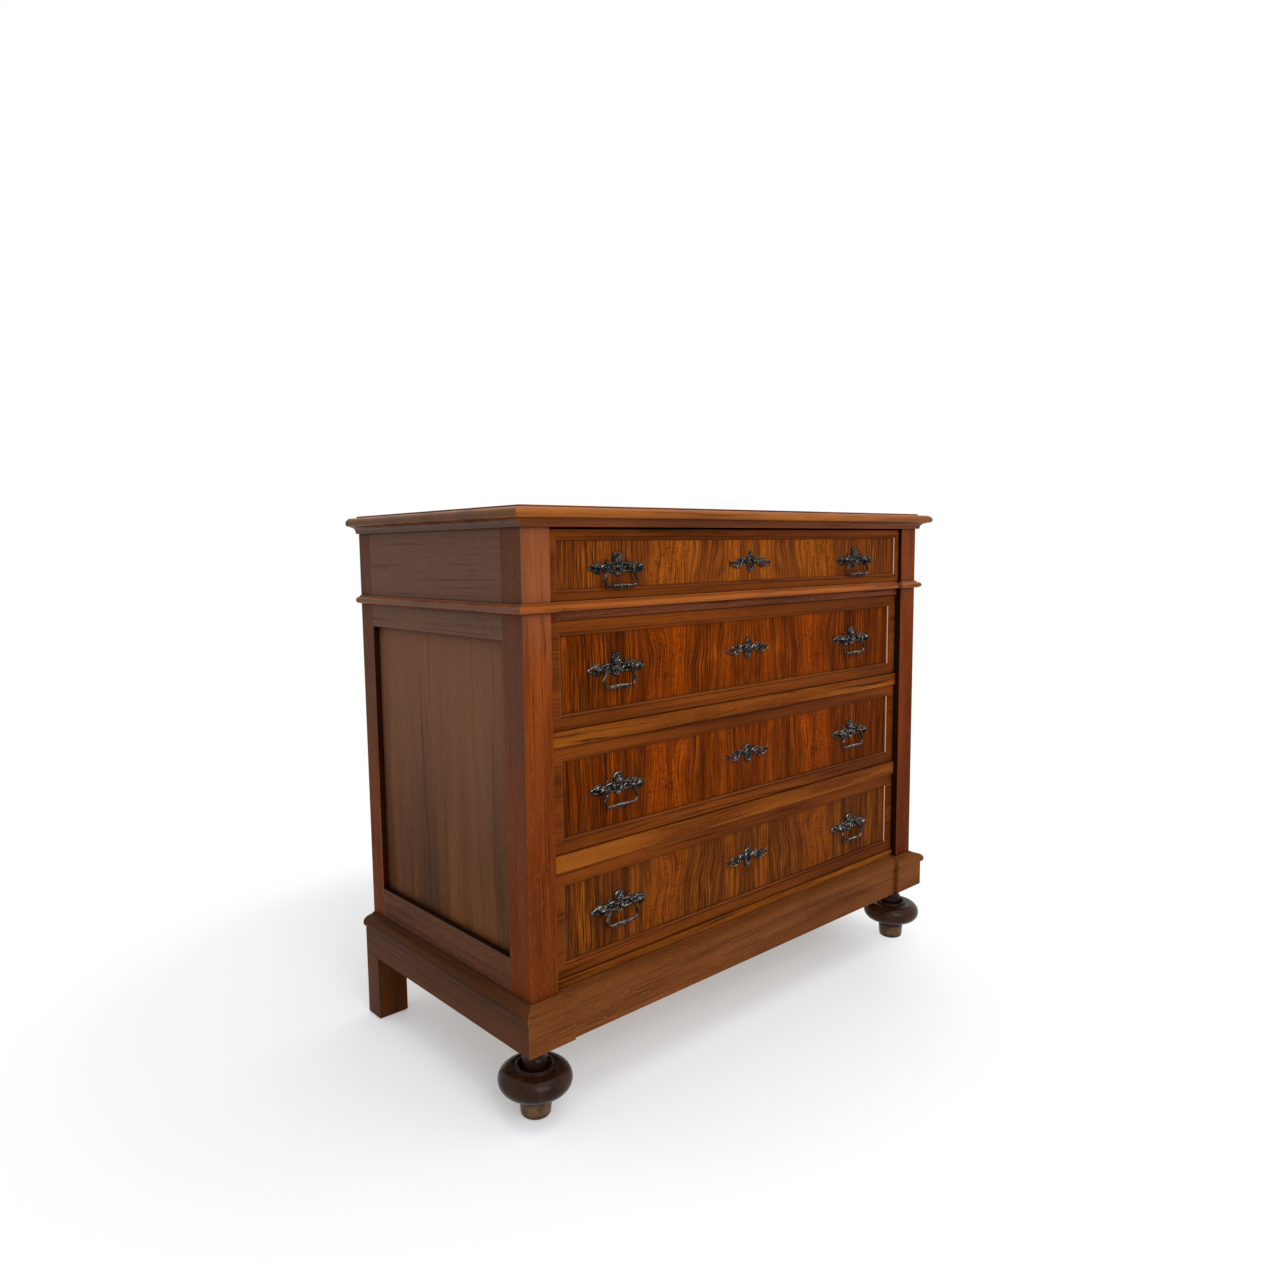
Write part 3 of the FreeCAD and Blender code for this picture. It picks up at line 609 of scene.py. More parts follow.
class FigureEffect(Effect):
    """Book-matched walnut veneer: fine straight lines outside, leaning figure and a golden flame inside."""

    def draw(self, nodes: Nodes, given: bpy.types.NodeOutputs) -> Sequence[Socket]:
        """Folds the place about the middle line and bends the lines most in the middle of each leaf.

        Args:
            nodes: Tool for the group's tree.
            given: Place and Middle.

        Returns:
            Tone, Streaks, Gold and Relief.
        """
        parts = nodes.split(given["Place"])
        across = nodes.sum("ABSOLUTE", nodes.sum("SUBTRACT", parts[0], given["Middle"]))
        leaf = nodes.join(X=across, Y=LEAF_DEPTH, Z=parts[2])
        calm = nodes.ramp(across, 0.22, 0.33)
        sway = nodes.sum("SUBTRACT", nodes.noise(nodes.stretch(leaf, 8.0, 1.0, 7.0), 1.0, 1.5), 0.5)
        ripple = nodes.sum("SUBTRACT", nodes.noise(nodes.stretch(leaf, 30.0, 1.0, 46.0), 1.0, 1.0), 0.5)
        bent = nodes.sum("MULTIPLY", sway, nodes.ramp(calm, 0.0, 1.0, 0.075, 0.012))
        bent = nodes.sum("MULTIPLY", bent, nodes.ramp(across, 0.0, 0.12, 0.12, 1.0))
        bent = nodes.sum("ADD", nodes.sum("ADD", across, bent), nodes.sum("MULTIPLY", ripple, 0.002))
        lines = nodes.join(X=bent, Y=LEAF_DEPTH, Z=parts[2])
        tight = nodes.ramp(nodes.noise(nodes.stretch(lines, 1200.0, 1.0, 9.0), 1.0, 2.0, 0.6), 0.45, 0.57)
        loose = nodes.ramp(nodes.noise(nodes.stretch(lines, 1000.0, 1.0, 8.0), 1.0, 3.0, 0.6), 0.475, 0.6)
        drift = nodes.sum("ADD", across, nodes.sum("MULTIPLY", sway, 0.1))
        flame = nodes.ramp(nodes.sum("ABSOLUTE", nodes.sum("SUBTRACT", drift, FLAME_PLACE)), 0.085, 0.02)
        heart = nodes.sum("ABSOLUTE", nodes.sum("SUBTRACT", drift, HEART_PLACE))
        heart = nodes.ramp(heart, 0.03, 0.004, 0.0, 0.55)
        gold = nodes.sum("MAXIMUM", flame, heart)
        curl = nodes.noise(nodes.stretch(leaf, 55.0, 1.0, 130.0), 1.0, 2.0, 0.5, 1.6)
        curl = nodes.sum("MULTIPLY", nodes.ramp(curl, 0.52, 0.66, 0.0, 0.3), gold)
        share = nodes.ramp(gold, 0.0, 1.0, 1.0, 0.85)
        streaks = nodes.put("ShaderNodeMix", Factor=calm, A=loose, B=tight).outputs[0]
        flecks = nodes.noise(nodes.stretch(lines, 1300.0, 1.0, 42.0), 1.0, 2.0, 0.6)
        flecks = nodes.ramp(flecks, 0.53, 0.66, 0.0, 0.75)
        streaks = nodes.sum("MAXIMUM", nodes.sum("MULTIPLY", streaks, share), flecks)
        streaks = nodes.sum("ADD", streaks, curl, clamp=True)
        tone = nodes.ramp(nodes.noise(nodes.stretch(lines, 75.0, 1.0, 4.0), 1.0, 4.0, 0.72), 0.4, 0.6)
        cloud = nodes.noise(nodes.stretch(lines, 16.0, 1.0, 9.0), 1.0, 2.0, 0.5)
        tone = nodes.sum("MULTIPLY", tone, nodes.ramp(cloud, 0.38, 0.6, 0.35, 1.0))
        gold = nodes.sum("MULTIPLY", gold, nodes.ramp(tone, 0.0, 1.0, 0.45, 1.0))
        return tone, streaks, gold, nodes.sum("SUBTRACT", 0.0, streaks)


class BoardEffect(Effect):
    """Boards laid side by side along X: which board a place is on, and where the joints between them are."""

    def draw(self, nodes: Nodes, given: bpy.types.NodeOutputs) -> Sequence[Socket]:
        """Divides X by the boards' width.

        Args:
            nodes: Tool for the group's tree.
            given: Place, Width and Gap.

        Returns:
            Board and Joint.
        """
        number = nodes.sum("DIVIDE", nodes.split(given["Place"])[0], given["Width"])
        nearest = nodes.sum("ABSOLUTE", nodes.sum("SUBTRACT", number, nodes.sum("ROUND", number)))
        gap = nodes.sum("DIVIDE", given["Gap"], given["Width"])
        return nodes.sum("FLOOR", number), nodes.sum("LESS_THAN", nearest, gap)


GRAIN = GrainEffect("wood grain", {"Wander": 0.02, "Streak Width": 150.0, "Contrast": 1.0},
                    ("Tone", "Streaks", "Pores", "Relief"))
FIGURE = FigureEffect("veneer figure", {"Middle": -0.009}, ("Tone", "Streaks", "Gold", "Relief"))
BOARDS = BoardEffect("side by side boards", {"Width": 0.26, "Gap": 0.0011}, ("Board", "Joint"))
WEAR_AND_SHADING = WearAndShadingEffect("handling wear", {"Edge Width": 0.0012, "Corner Reach": 0.012, "Patchiness": 0.6},
                  ("Edges", "Corners"))


class GrainWay(Enum):
    """The direction that the grain runs, as the turn that brings Z onto it."""

    ACROSS = (0.0, pi / 2, 0.0)
    DEEP = (pi / 2, 0.0, 0.0)
    UPRIGHT = (0.0, 0.0, 0.0)


@dataclass(frozen=True)
class Finish:
    """A surface finish, made into a material when it is asked for the first time."""

    name: str

    def material(self) -> bpy.types.Material:
        """Builds the finish, or finds it if it is there already.

        Returns:
            The material.
        """
        found = bpy.data.materials.get(self.name)
        if found:
            return found
        material = bpy.data.materials.new(self.name)
        nodes = Nodes.blank(material)
        shader = self.draw(nodes, nodes.put("ShaderNodeTexCoord").outputs["Object"])
        nodes.put("ShaderNodeOutputMaterial", Surface=shader.outputs[0])
        return material

    def draw(self, nodes: Nodes, start: Socket) -> bpy.types.Node:
        """Draws the finish; each kind has its own way.

        Args:
            nodes: Tool for the material's tree.
            start: Object coordinates.

        Returns:
            The finish's shader node.
        """
        raise NotImplementedError


@dataclass(frozen=True)
class WoodFinish(Finish):
    """A polished wood: its colours, the way of its grain and its sheen.

    Attributes:
        light: Pale tone of the wood.
        dark: Dark tone of the wood.
        streak: Colour of the dark lines.
        way: Direction of the grain.
        streak_width: How fine the dark lines are; more is finer.
        contrast: Strength of the dark lines.
        wander: How far the grain strays from straight, in metres.
        roughness: Roughness of the polish.
        sheen: Specular level of the polish.
        pore: Colour of the pores.
        pore_share: How much the pores show.
        edge: Colour of the worn edges; a pale one is also a painted highlight, a dark one is painted shade
            along the gaps.
        worn_edge_light_and_shade_share: How much the edge colour shows.
        edge_width: Width of the worn edges.
        grime_and_shade: How much dirt and painted shade darken the corners.
        shade_and_grime_reach: How far the dirt and painted shade reach out of a corner.
        offset: Shift of the grain, so that two pieces don't look the same.
        side_shade_and_sheen: Colour painted on the faces that look to either side: painted shade and sheen,
            strongest near the top.
        gold: Colour of a veneer's flame; a finish that has it is book-matched veneer.
        slopes: Colour of the painted highlight on bead slopes that look up or to the left.
        upper_front_highlight: Colour of the painted highlight on the fronts above the waist.
        board_width: Width of boards laid side by side, or 0 for one board.
        recess: Direction that the faces inside a recess look in, which get painted shade.
        toe: Colour that a foot is scuffed to just above the floor.
        golden_end: Colour of a rail's left end.
    """

    light: Rgb
    dark: Rgb
    streak: Rgb
    way: GrainWay
    streak_width: float = 150.0
    contrast: float = 0.8
    wander: float = 0.02
    roughness: float = 0.42
    sheen: float = 0.09
    pore: Rgb = (34, 14, 6)
    pore_share: float = 0.4
    edge: Rgb = (158, 92, 46)
    worn_edge_light_and_shade_share: float = 0.5
    edge_width: float = 0.0012
    grime_and_shade: float = 0.75
    shade_and_grime_reach: float = 0.009
    offset: Point = (0.0, 0.0, 0.0)
    side_shade_and_sheen: Rgb | None = None
    gold: Rgb | None = None
    slopes: Rgb | None = None
    upper_front_highlight: Rgb | None = None
    board_width: float = 0.0
    recess: Point | None = None
    toe: Rgb | None = None
    golden_end: Rgb | None = None

    def draw(self, nodes: Nodes, start: Socket) -> bpy.types.Node:
        """Draws wood, then painted light and what age did to it, then dirt with painted shade in the corners
        and the worn edges with their painted light and shade.

        Args:
            nodes: Tool for the material's tree.
            start: Object coordinates.

        Returns:
            The shader node.
        """
        colour, streaks, relief = self.veneered(nodes, start) if self.gold else self.solid(nodes, start)
        colour = self.age_and_painted_light(nodes, start, colour)
        wear_and_shading = WEAR_AND_SHADING.use(nodes, Place=start, Edge_Width=self.edge_width, Corner_Reach=self.shade_and_grime_reach)
        # Painted shade with dirt: the corner colour goes where ambient occlusion finds shut-in corners.
        colour = nodes.blend(nodes.sum("MULTIPLY", wear_and_shading.outputs["Corners"], self.grime_and_shade), colour, CORNER_SHADE_AND_GRIME)
        # Worn edges with painted light: a pale edge colour paints a highlight on convex edges, a dark one
        # paints shade along the gaps.
        colour = nodes.blend(nodes.sum("MULTIPLY", wear_and_shading.outputs["Edges"], self.worn_edge_light_and_shade_share), colour,
                             srgb(*self.edge))
        rough = nodes.sum("ADD", self.roughness, nodes.sum("MULTIPLY", streaks, 0.12))
        rough = nodes.sum("ADD", rough, nodes.ramp(nodes.noise(start, 14.0, 3.0), 0.35, 0.65, -0.02, 0.03))
        bump = nodes.put("ShaderNodeBump", Height=relief, Strength=0.25, Distance=0.0004)
        shader = nodes.put("ShaderNodeBsdfPrincipled", Base_Color=colour, Roughness=rough,
                           Normal=bump.outputs[0], IOR=1.48)
        shader.inputs["Specular IOR Level"].default_value = self.sheen
        return shader

    def age_and_painted_light(self, nodes: Nodes, start: Socket, colour: Socket) -> Socket:
        """Adds the painted light that this finish has, a highlight on bead slopes and shade inside a recess,
        and its marks of age: golden end, scuffed toe.

        Args:
            nodes: Tool for the material's tree.
            start: Object coordinates.
            colour: The colour so far.

        Returns:
            The colour with its painted light and marks of age.
        """
        if self.slopes is not None:
            colour = self.highlight_slopes(nodes, colour)
        if self.recess is not None:
            colour = self.shade_recess(nodes, colour)
        if self.golden_end is not None:
            leftward = nodes.ramp(nodes.split(start)[0], -0.2, -0.36, 0.0, 0.34)
            colour = nodes.blend(leftward, colour, srgb(*self.golden_end))
        if self.toe is not None:
            patches = nodes.ramp(nodes.noise(start, 60.0, 3.0), 0.4, 0.6, 0.45, 0.85)
            worn = nodes.sum("MULTIPLY", nodes.ramp(nodes.split(start)[2], 0.034, 0.024), patches)
            colour = nodes.blend(worn, colour, srgb(*self.toe))
        return colour

    def solid(self, nodes: Nodes, start: Socket) -> Sequence[Socket]:
        """Draws plain grain along the board.

        Args:
            nodes: Tool for the material's tree.
            start: Object coordinates.

        Returns:
            Colour, streaks and relief.
        """
        shift: object = self.offset
        if self.board_width:
            boards = BOARDS.use(nodes, Place=start, Width=self.board_width)
            apart = nodes.sum("MULTIPLY", boards.outputs["Board"], BOARD_STEP)
            shift = nodes.join(Y=apart, Z=apart)
        place = nodes.put("ShaderNodeMapping", Vector=start, Location=shift, Rotation=self.way.value)
        grain = GRAIN.use(nodes, Place=place.outputs[0], Wander=self.wander, Streak_Width=self.streak_width,
                          Contrast=self.contrast)
        colour = nodes.blend(grain.outputs["Tone"], srgb(*self.dark), srgb(*self.light))
        colour = nodes.blend(grain.outputs["Streaks"], colour, srgb(*self.streak))
        if self.side_shade_and_sheen is not None:
            colour = self.paint_side_light(nodes, start, colour, grain.outputs["Streaks"])
        if self.board_width:
            shade = nodes.ramp(nodes.noise(shift, 3.1), 0.35, 0.65, 0.0, 0.3)
            colour = nodes.blend(shade, colour, srgb(*self.streak))
            colour = nodes.blend(boards.outputs["Joint"], colour, JOINT_GRIME)
        pores = nodes.sum("MULTIPLY", grain.outputs["Pores"], self.pore_share)
        return nodes.blend(pores, colour, srgb(*self.pore)), grain.outputs["Streaks"], grain.outputs["Relief"]

    def veneered(self, nodes: Nodes, start: Socket) -> Sequence[Socket]:
        """Draws two matched leaves of figured veneer.

        Args:
            nodes: Tool for the material's tree.
            start: Object coordinates.

        Returns:
            Colour, streaks and relief.
        """
        figure = FIGURE.use(nodes, Place=start)
        colour = nodes.blend(figure.outputs["Tone"], srgb(*self.dark), srgb(*self.light))
        colour = nodes.blend(figure.outputs["Gold"], colour, srgb(*self.gold))
        streaks = nodes.sum("MULTIPLY", figure.outputs["Streaks"], self.contrast)
        return nodes.blend(streaks, colour, srgb(*self.streak)), streaks, figure.outputs["Relief"]

    def paint_side_light(self, nodes: Nodes, start: Socket, colour: Socket, streaks: Socket) -> Socket:
        """Paints shade and sheen on the faces that look to either side, most of all near the top, and a
        highlight on the fronts above the waist.

        Args:
            nodes: Tool for the material's tree.
            start: Object coordinates.
            colour: The colour so far.
            streaks: Where the dark streaks are, which take less of the painted sheen and highlight.

        Returns:
            The muted colour.
        """
        sideways = nodes.ramp(nodes.sum("ABSOLUTE", nodes.split(nodes.flat_normal())[0]), 0.5, 0.8)
        height = nodes.split(start)[2]
        between_streaks = nodes.sum("SUBTRACT", 1.0, nodes.sum("MULTIPLY", streaks, 0.6))
        share = nodes.sum("MULTIPLY", sideways, nodes.ramp(height, 0.28, 0.75, 0.12, 0.85))
        muted = nodes.blend(nodes.sum("MULTIPLY", share, between_streaks), colour, srgb(*self.side_shade_and_sheen))
        if self.upper_front_highlight is None:
            return muted
        frontward = nodes.sum("SUBTRACT", 1.0, sideways)
        share = nodes.sum("MULTIPLY", frontward, nodes.ramp(height, 0.72, 0.9, 0.0, 0.42))
        return nodes.blend(nodes.sum("MULTIPLY", share, between_streaks), muted, srgb(*self.upper_front_highlight))

    def shade_recess(self, nodes: Nodes, colour: Socket) -> Socket:
        """Paints shade on the narrow faces inside a recess that look one way.

        Args:
            nodes: Tool for the material's tree.
            colour: The colour so far.

        Returns:
            The darkened colour.
        """
        toward = nodes.vector("DOT_PRODUCT", nodes.flat_normal(), self.recess)
        return nodes.blend(nodes.ramp(toward, 0.5, 0.8, 0.0, 0.88), colour, RECESS_SHADE)

    def highlight_slopes(self, nodes: Nodes, colour: Socket) -> Socket:
        """Paints a highlight on the bead slopes that look up or to the left.

        Args:
            nodes: Tool for the material's tree.
            colour: The colour so far.

        Returns:
            The lightened colour.
        """
        along = nodes.split(nodes.flat_normal())
        forward = nodes.sum("ABSOLUTE", along[1])
        slope = nodes.sum("MULTIPLY", nodes.ramp(forward, 0.1, 0.3), nodes.ramp(forward, 0.99, 0.93))
        lit_upward = nodes.sum("MULTIPLY", nodes.ramp(along[2], 0.2, 0.6, 0.0, 0.05), slope)
        leftward = nodes.sum("MULTIPLY", nodes.ramp(along[0], -0.2, -0.6), slope)
        return nodes.blend(nodes.sum("MAXIMUM", lit_upward, leftward), colour, srgb(*self.slopes))


@dataclass(frozen=True)
class MetalFinish(Finish):
    """A cast or forged metal: its dark ground, the colour of its worn high places, which also paints
    highlights and glints, and its gloss.

    Attributes:
        ground: Colour of the ground.
        worn_and_lit: Colour of the worn high places, also painted as highlights on edges and glints on faces
            that look up.
        metallic: How bare the metal is at the high places.
        roughness: Roughness of the skin.
        edge_width: Width of the worn edges.
        bare: How bare the metal is on the ground.
        sheen: Specular level of the skin.
    """

    ground: Rgb
    worn_and_lit: Rgb
    metallic: float
    roughness: float
    edge_width: float = 0.0007
    bare: float = 0.0
    sheen: float = 0.08

    def draw(self, nodes: Nodes, start: Socket) -> bpy.types.Node:
        """Draws a dark pitted skin, worn bright with a painted highlight on its edges, and painted glints on
        what looks up.

        Args:
            nodes: Tool for the material's tree.
            start: Object coordinates.

        Returns:
            The shader node.
        """
        wear_and_shading = WEAR_AND_SHADING.use(nodes, Place=start, Edge_Width=self.edge_width, Corner_Reach=0.004, Patchiness=0.4)
        skin = nodes.noise(start, 420.0, 4.0, 0.6)
        cloud = nodes.noise(start, 90.0, 3.0, 0.6)
        colour = nodes.blend(nodes.ramp(cloud, 0.5, 0.7, 0.0, 0.12), srgb(*self.ground), srgb(*self.worn_and_lit))
        # Painted shade with dirt in the casting's crevices.
        colour = nodes.blend(nodes.sum("MULTIPLY", wear_and_shading.outputs["Corners"], 0.8), colour, METAL_SHADE_AND_GRIME)
        # Painted glints: faces that look up and a little to the left take the bright colour in noise patches.
        along = nodes.split(nodes.put("ShaderNodeNewGeometry").outputs["Normal"])
        lit_upward = nodes.ramp(nodes.sum("SUBTRACT", along[2], nodes.sum("MULTIPLY", along[0], 0.4)), 0.35, 0.9)
        glints = nodes.sum("MULTIPLY", lit_upward, nodes.ramp(nodes.noise(start, 260.0, 2.0), 0.42, 0.6))
        high = nodes.sum("MAXIMUM", wear_and_shading.outputs["Edges"], nodes.sum("MULTIPLY", glints, 0.8))
        colour = nodes.blend(high, colour, srgb(*self.worn_and_lit))
        rough = nodes.sum("ADD", nodes.ramp(skin, 0.3, 0.7, self.roughness - 0.08, self.roughness + 0.12),
                          nodes.sum("MULTIPLY", wear_and_shading.outputs["Edges"], -0.08))
        bump = nodes.put("ShaderNodeBump", Height=skin, Strength=0.3, Distance=0.0003)
        bareness = nodes.ramp(high, 0.0, 1.0, self.bare, self.metallic)
        shader = nodes.put("ShaderNodeBsdfPrincipled", Base_Color=colour, Roughness=rough,
                           Normal=bump.outputs[0], Metallic=bareness)
        shader.inputs["Specular IOR Level"].default_value = self.sheen
        return shader


# ---------------------------------------------------------------- finishes of this chest
POST = WoodFinish("walnut post", (134, 62, 18), (98, 42, 10), (58, 22, 6), GrainWay.UPRIGHT,
                  streak_width=230.0, contrast=0.9, sheen=0.02, pore=(150, 88, 44), pore_share=0.45,
                  side_shade_and_sheen=(84, 58, 46), upper_front_highlight=(136, 90, 64), grime_and_shade=0.9, shade_and_grime_reach=0.02)
# The right post painted darker, as in shade, with a darker painted highlight above the waist and painted
# shade on its inner return.
POST_RIGHT_SHADED = replace(POST, name="walnut post, right", light=(110, 44, 6), dark=(80, 29, 3),
                     upper_front_highlight=(120, 66, 36), recess=(-1.0, 0.0, 0.0))
# The rear posts take painted shade on their faces that look forward.
POST_REAR = replace(POST, name="walnut post, rear", recess=(0.0, -1.0, 0.0))
# The rails' dark edge colour paints shade in the gaps along their edges.
RAIL = WoodFinish("walnut rail", (146, 80, 20), (92, 41, 7), (48, 20, 5), GrainWay.ACROSS, contrast=0.95,
                  sheen=0.02, pore=(160, 96, 34), pore_share=0.45, streak_width=190.0, edge=(40, 18, 6),
                  worn_edge_light_and_shade_share=0.8, edge_width=0.0022, grime_and_shade=0.9, shade_and_grime_reach=0.018)
RAIL_LOWER = replace(RAIL, name="walnut rail, lower", golden_end=(172, 98, 30))
RAIL_SHADED = replace(RAIL, name="walnut rail, shaded", light=(104, 55, 33), dark=(69, 35, 21),
                      streak=(38, 18, 10))
# The borders' dark edge colour paints shade in the gaps round each drawer; their slopes colour is a painted
# highlight on the bead.
BORDER = WoodFinish("walnut drawer border", (118, 58, 14), (86, 38, 8), (48, 20, 5), GrainWay.ACROSS,
                    contrast=0.8, sheen=0.02, offset=(0.0, 0.3, 0.7), grime_and_shade=0.92, shade_and_grime_reach=0.012,
                    edge=(38, 17, 6), worn_edge_light_and_shade_share=0.8, edge_width=0.0020, slopes=(186, 132, 104))
PANEL = WoodFinish("walnut veneer panel", (150, 69, 7), (98, 40, 4), (34, 11, 2), GrainWay.UPRIGHT,
                   contrast=0.95, roughness=0.36, sheen=0.010, grime_and_shade=0.95, shade_and_grime_reach=0.011,
                   gold=(156, 66, 3))
# Painted light: the top drawer's veneer lighter and hazier and the bottom drawer's darker and duller, as the
# light falls from above.
PANEL_TOP = replace(PANEL, name="walnut veneer panel, top", light=(156, 82, 22), dark=(112, 54, 14),
                    streak=(52, 22, 8), gold=(172, 89, 20))
PANEL_LOW = replace(PANEL, name="walnut veneer panel, low", light=(142, 74, 17), dark=(92, 44, 12),
                    streak=(38, 18, 7), gold=(140, 69, 13))
# The side frames take painted shade on their faces that look up.
SIDE_FRAME = WoodFinish("walnut side frame", (96, 55, 32), (74, 41, 22), (50, 27, 15), GrainWay.DEEP,
                        contrast=0.8, sheen=0.03, edge=(136, 98, 70), pore=(142, 102, 74), pore_share=0.45,
                        grime_and_shade=0.92, shade_and_grime_reach=0.02, side_shade_and_sheen=(100, 72, 59), recess=(0.0, 0.0, 1.0))
SIDE_PANEL = WoodFinish("walnut side panel", (100, 57, 24), (60, 31, 10), (34, 17, 7), GrainWay.UPRIGHT,
                        streak_width=60.0, contrast=0.6, wander=0.03, sheen=0.03, pore=(136, 98, 70),
                        pore_share=0.35, grime_and_shade=0.95, shade_and_grime_reach=0.026, side_shade_and_sheen=(114, 77, 56))
PLINTH = WoodFinish("walnut plinth", (124, 72, 36), (96, 52, 22), (56, 28, 10), GrainWay.ACROSS,
                    contrast=0.6, sheen=0.015, pore=(150, 96, 48), pore_share=0.5, streak_width=240.0,
                    side_shade_and_sheen=(80, 48, 32), edge=(168, 114, 78))
PLINTH_SIDE = WoodFinish("walnut plinth side", (90, 52, 28), (68, 38, 20), (42, 25, 13), GrainWay.DEEP,
                         contrast=0.55, sheen=0.03, edge=(132, 96, 74))
NOSE = WoodFinish("walnut moulding", (160, 86, 34), (112, 54, 18), (66, 28, 9), GrainWay.ACROSS,
                  contrast=0.7, roughness=0.3, sheen=0.04, pore=(178, 112, 56), pore_share=0.35,
                  side_shade_and_sheen=(92, 70, 60), edge=(212, 140, 80), grime_and_shade=0.9, shade_and_grime_reach=0.014)
TOP = WoodFinish("walnut top", (146, 80, 34), (102, 50, 18), (58, 26, 10), GrainWay.ACROSS,
                 contrast=0.65, roughness=0.3, sheen=0.04, side_shade_and_sheen=(86, 64, 48), edge=(190, 128, 80),
                 grime_and_shade=0.85, shade_and_grime_reach=0.016)
TOP_EDGE = replace(TOP, name="walnut top board", light=(152, 88, 36), dark=(106, 56, 20), grime_and_shade=0.95)
# The cornice painted darker than the top, as in the shadow of the top board's overhang.
CORNICE = replace(TOP, name="walnut cornice", light=(118, 62, 30), dark=(84, 42, 18), streak=(50, 24, 10),
                  side_shade_and_sheen=(95, 77, 69), edge=(150, 92, 56), grime_and_shade=0.95, shade_and_grime_reach=0.02)
FOOT = WoodFinish("dark walnut foot", (62, 33, 16), (32, 16, 8), (14, 7, 4), GrainWay.UPRIGHT,
                  streak_width=90.0, contrast=0.6, roughness=0.24, sheen=0.14, edge=(140, 106, 74),
                  worn_edge_light_and_shade_share=0.7, grime_and_shade=0.9, shade_and_grime_reach=0.02, toe=(112, 84, 58))
LEG = WoodFinish("dark walnut leg", (98, 52, 17), (70, 36, 11), (42, 21, 8), GrainWay.UPRIGHT,
                 streak_width=90.0, contrast=0.55, sheen=0.05, side_shade_and_sheen=(84, 46, 18), edge=(124, 88, 58))
INNER = WoodFinish("pale inner wood", (196, 160, 112), (170, 132, 88), (140, 104, 66), GrainWay.DEEP,
                   contrast=0.35, roughness=0.7, edge=(214, 186, 146), worn_edge_light_and_shade_share=0.3, grime_and_shade=0.5,
                   pore=(120, 88, 56))
INNER_ACROSS = WoodFinish("pale inner wood across", (190, 154, 106), (164, 128, 84), (134, 100, 64),
                          GrainWay.ACROSS, contrast=0.35, roughness=0.7, edge=(214, 186, 146),
                          worn_edge_light_and_shade_share=0.3, grime_and_shade=0.5, pore=(120, 88, 56))
BACK = WoodFinish("back boards", (150, 116, 76), (122, 92, 58), (92, 66, 42), GrainWay.UPRIGHT,
                  streak_width=60.0, contrast=0.5, wander=0.04, roughness=0.8, pore=(84, 60, 38),
                  edge=(170, 140, 100), worn_edge_light_and_shade_share=0.3, board_width=0.26675)
IRON = MetalFinish("blackened metal", (10, 8, 8), (200, 188, 176), metallic=0.85, roughness=0.3,
                   edge_width=0.0003)
STEEL = MetalFinish("lock steel", (120, 116, 108), (176, 172, 164), metallic=0.9, roughness=0.42, bare=0.8,
                    sheen=0.5)


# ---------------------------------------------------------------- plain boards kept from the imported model
@dataclass
class Boards:
    """The flat boards of the carcass and the drawers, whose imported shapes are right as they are."""

    finishes: dict[str, WoodFinish] = field(default_factory=lambda: {
        "front_post_left": POST, "front_post_right": POST_RIGHT_SHADED,
        "rear_post_left": POST_REAR, "rear_post_right": POST_REAR,
        "rear_leg_left": LEG, "rear_leg_right": LEG,
        "side_frame_left": SIDE_FRAME, "side_frame_right": SIDE_FRAME,
        "side_panel_left": SIDE_PANEL, "side_panel_right": SIDE_PANEL,
        "bottom_rail": RAIL, "lower_rail": RAIL_LOWER, "upper_rail": RAIL, "waist_rail": RAIL_SHADED,
        "top_field": TOP, "back_boards": BACK,
        "dust_board": INNER_ACROSS, "drawer_runners": INNER, "drawer_stops": INNER_ACROSS,
    })
    panels: dict[int, WoodFinish] = field(default_factory=lambda: {1: PANEL_TOP, 4: PANEL_LOW})

    def dress(self) -> None:
        """Gives every kept node its finish."""
        for name, finish in self.finishes.items():
            self.paint(name, finish.material())
        for number in DRAWER_NUMBERS:
            drawer = {"front": BORDER, "panel": self.panels.get(number, PANEL), "box": INNER,
                      "lock": STEEL, "bolt": STEEL}
            for name, finish in drawer.items():
                self.paint(f"drawer_{number}_{name}", finish.material())

    @staticmethod
    def paint(name: str, material: bpy.types.Material) -> None:
        """Assigns a material to a node's slots.

        Args:
            name: The node.
            material: What it is finished with.
        """
        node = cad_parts[name]
        if not node.material_slots:
            node.data.materials.append(material)
        for slot in node.material_slots:
            slot.link = "OBJECT"
            slot.material = material
        LOG.info("%s: %s", name, material.name)


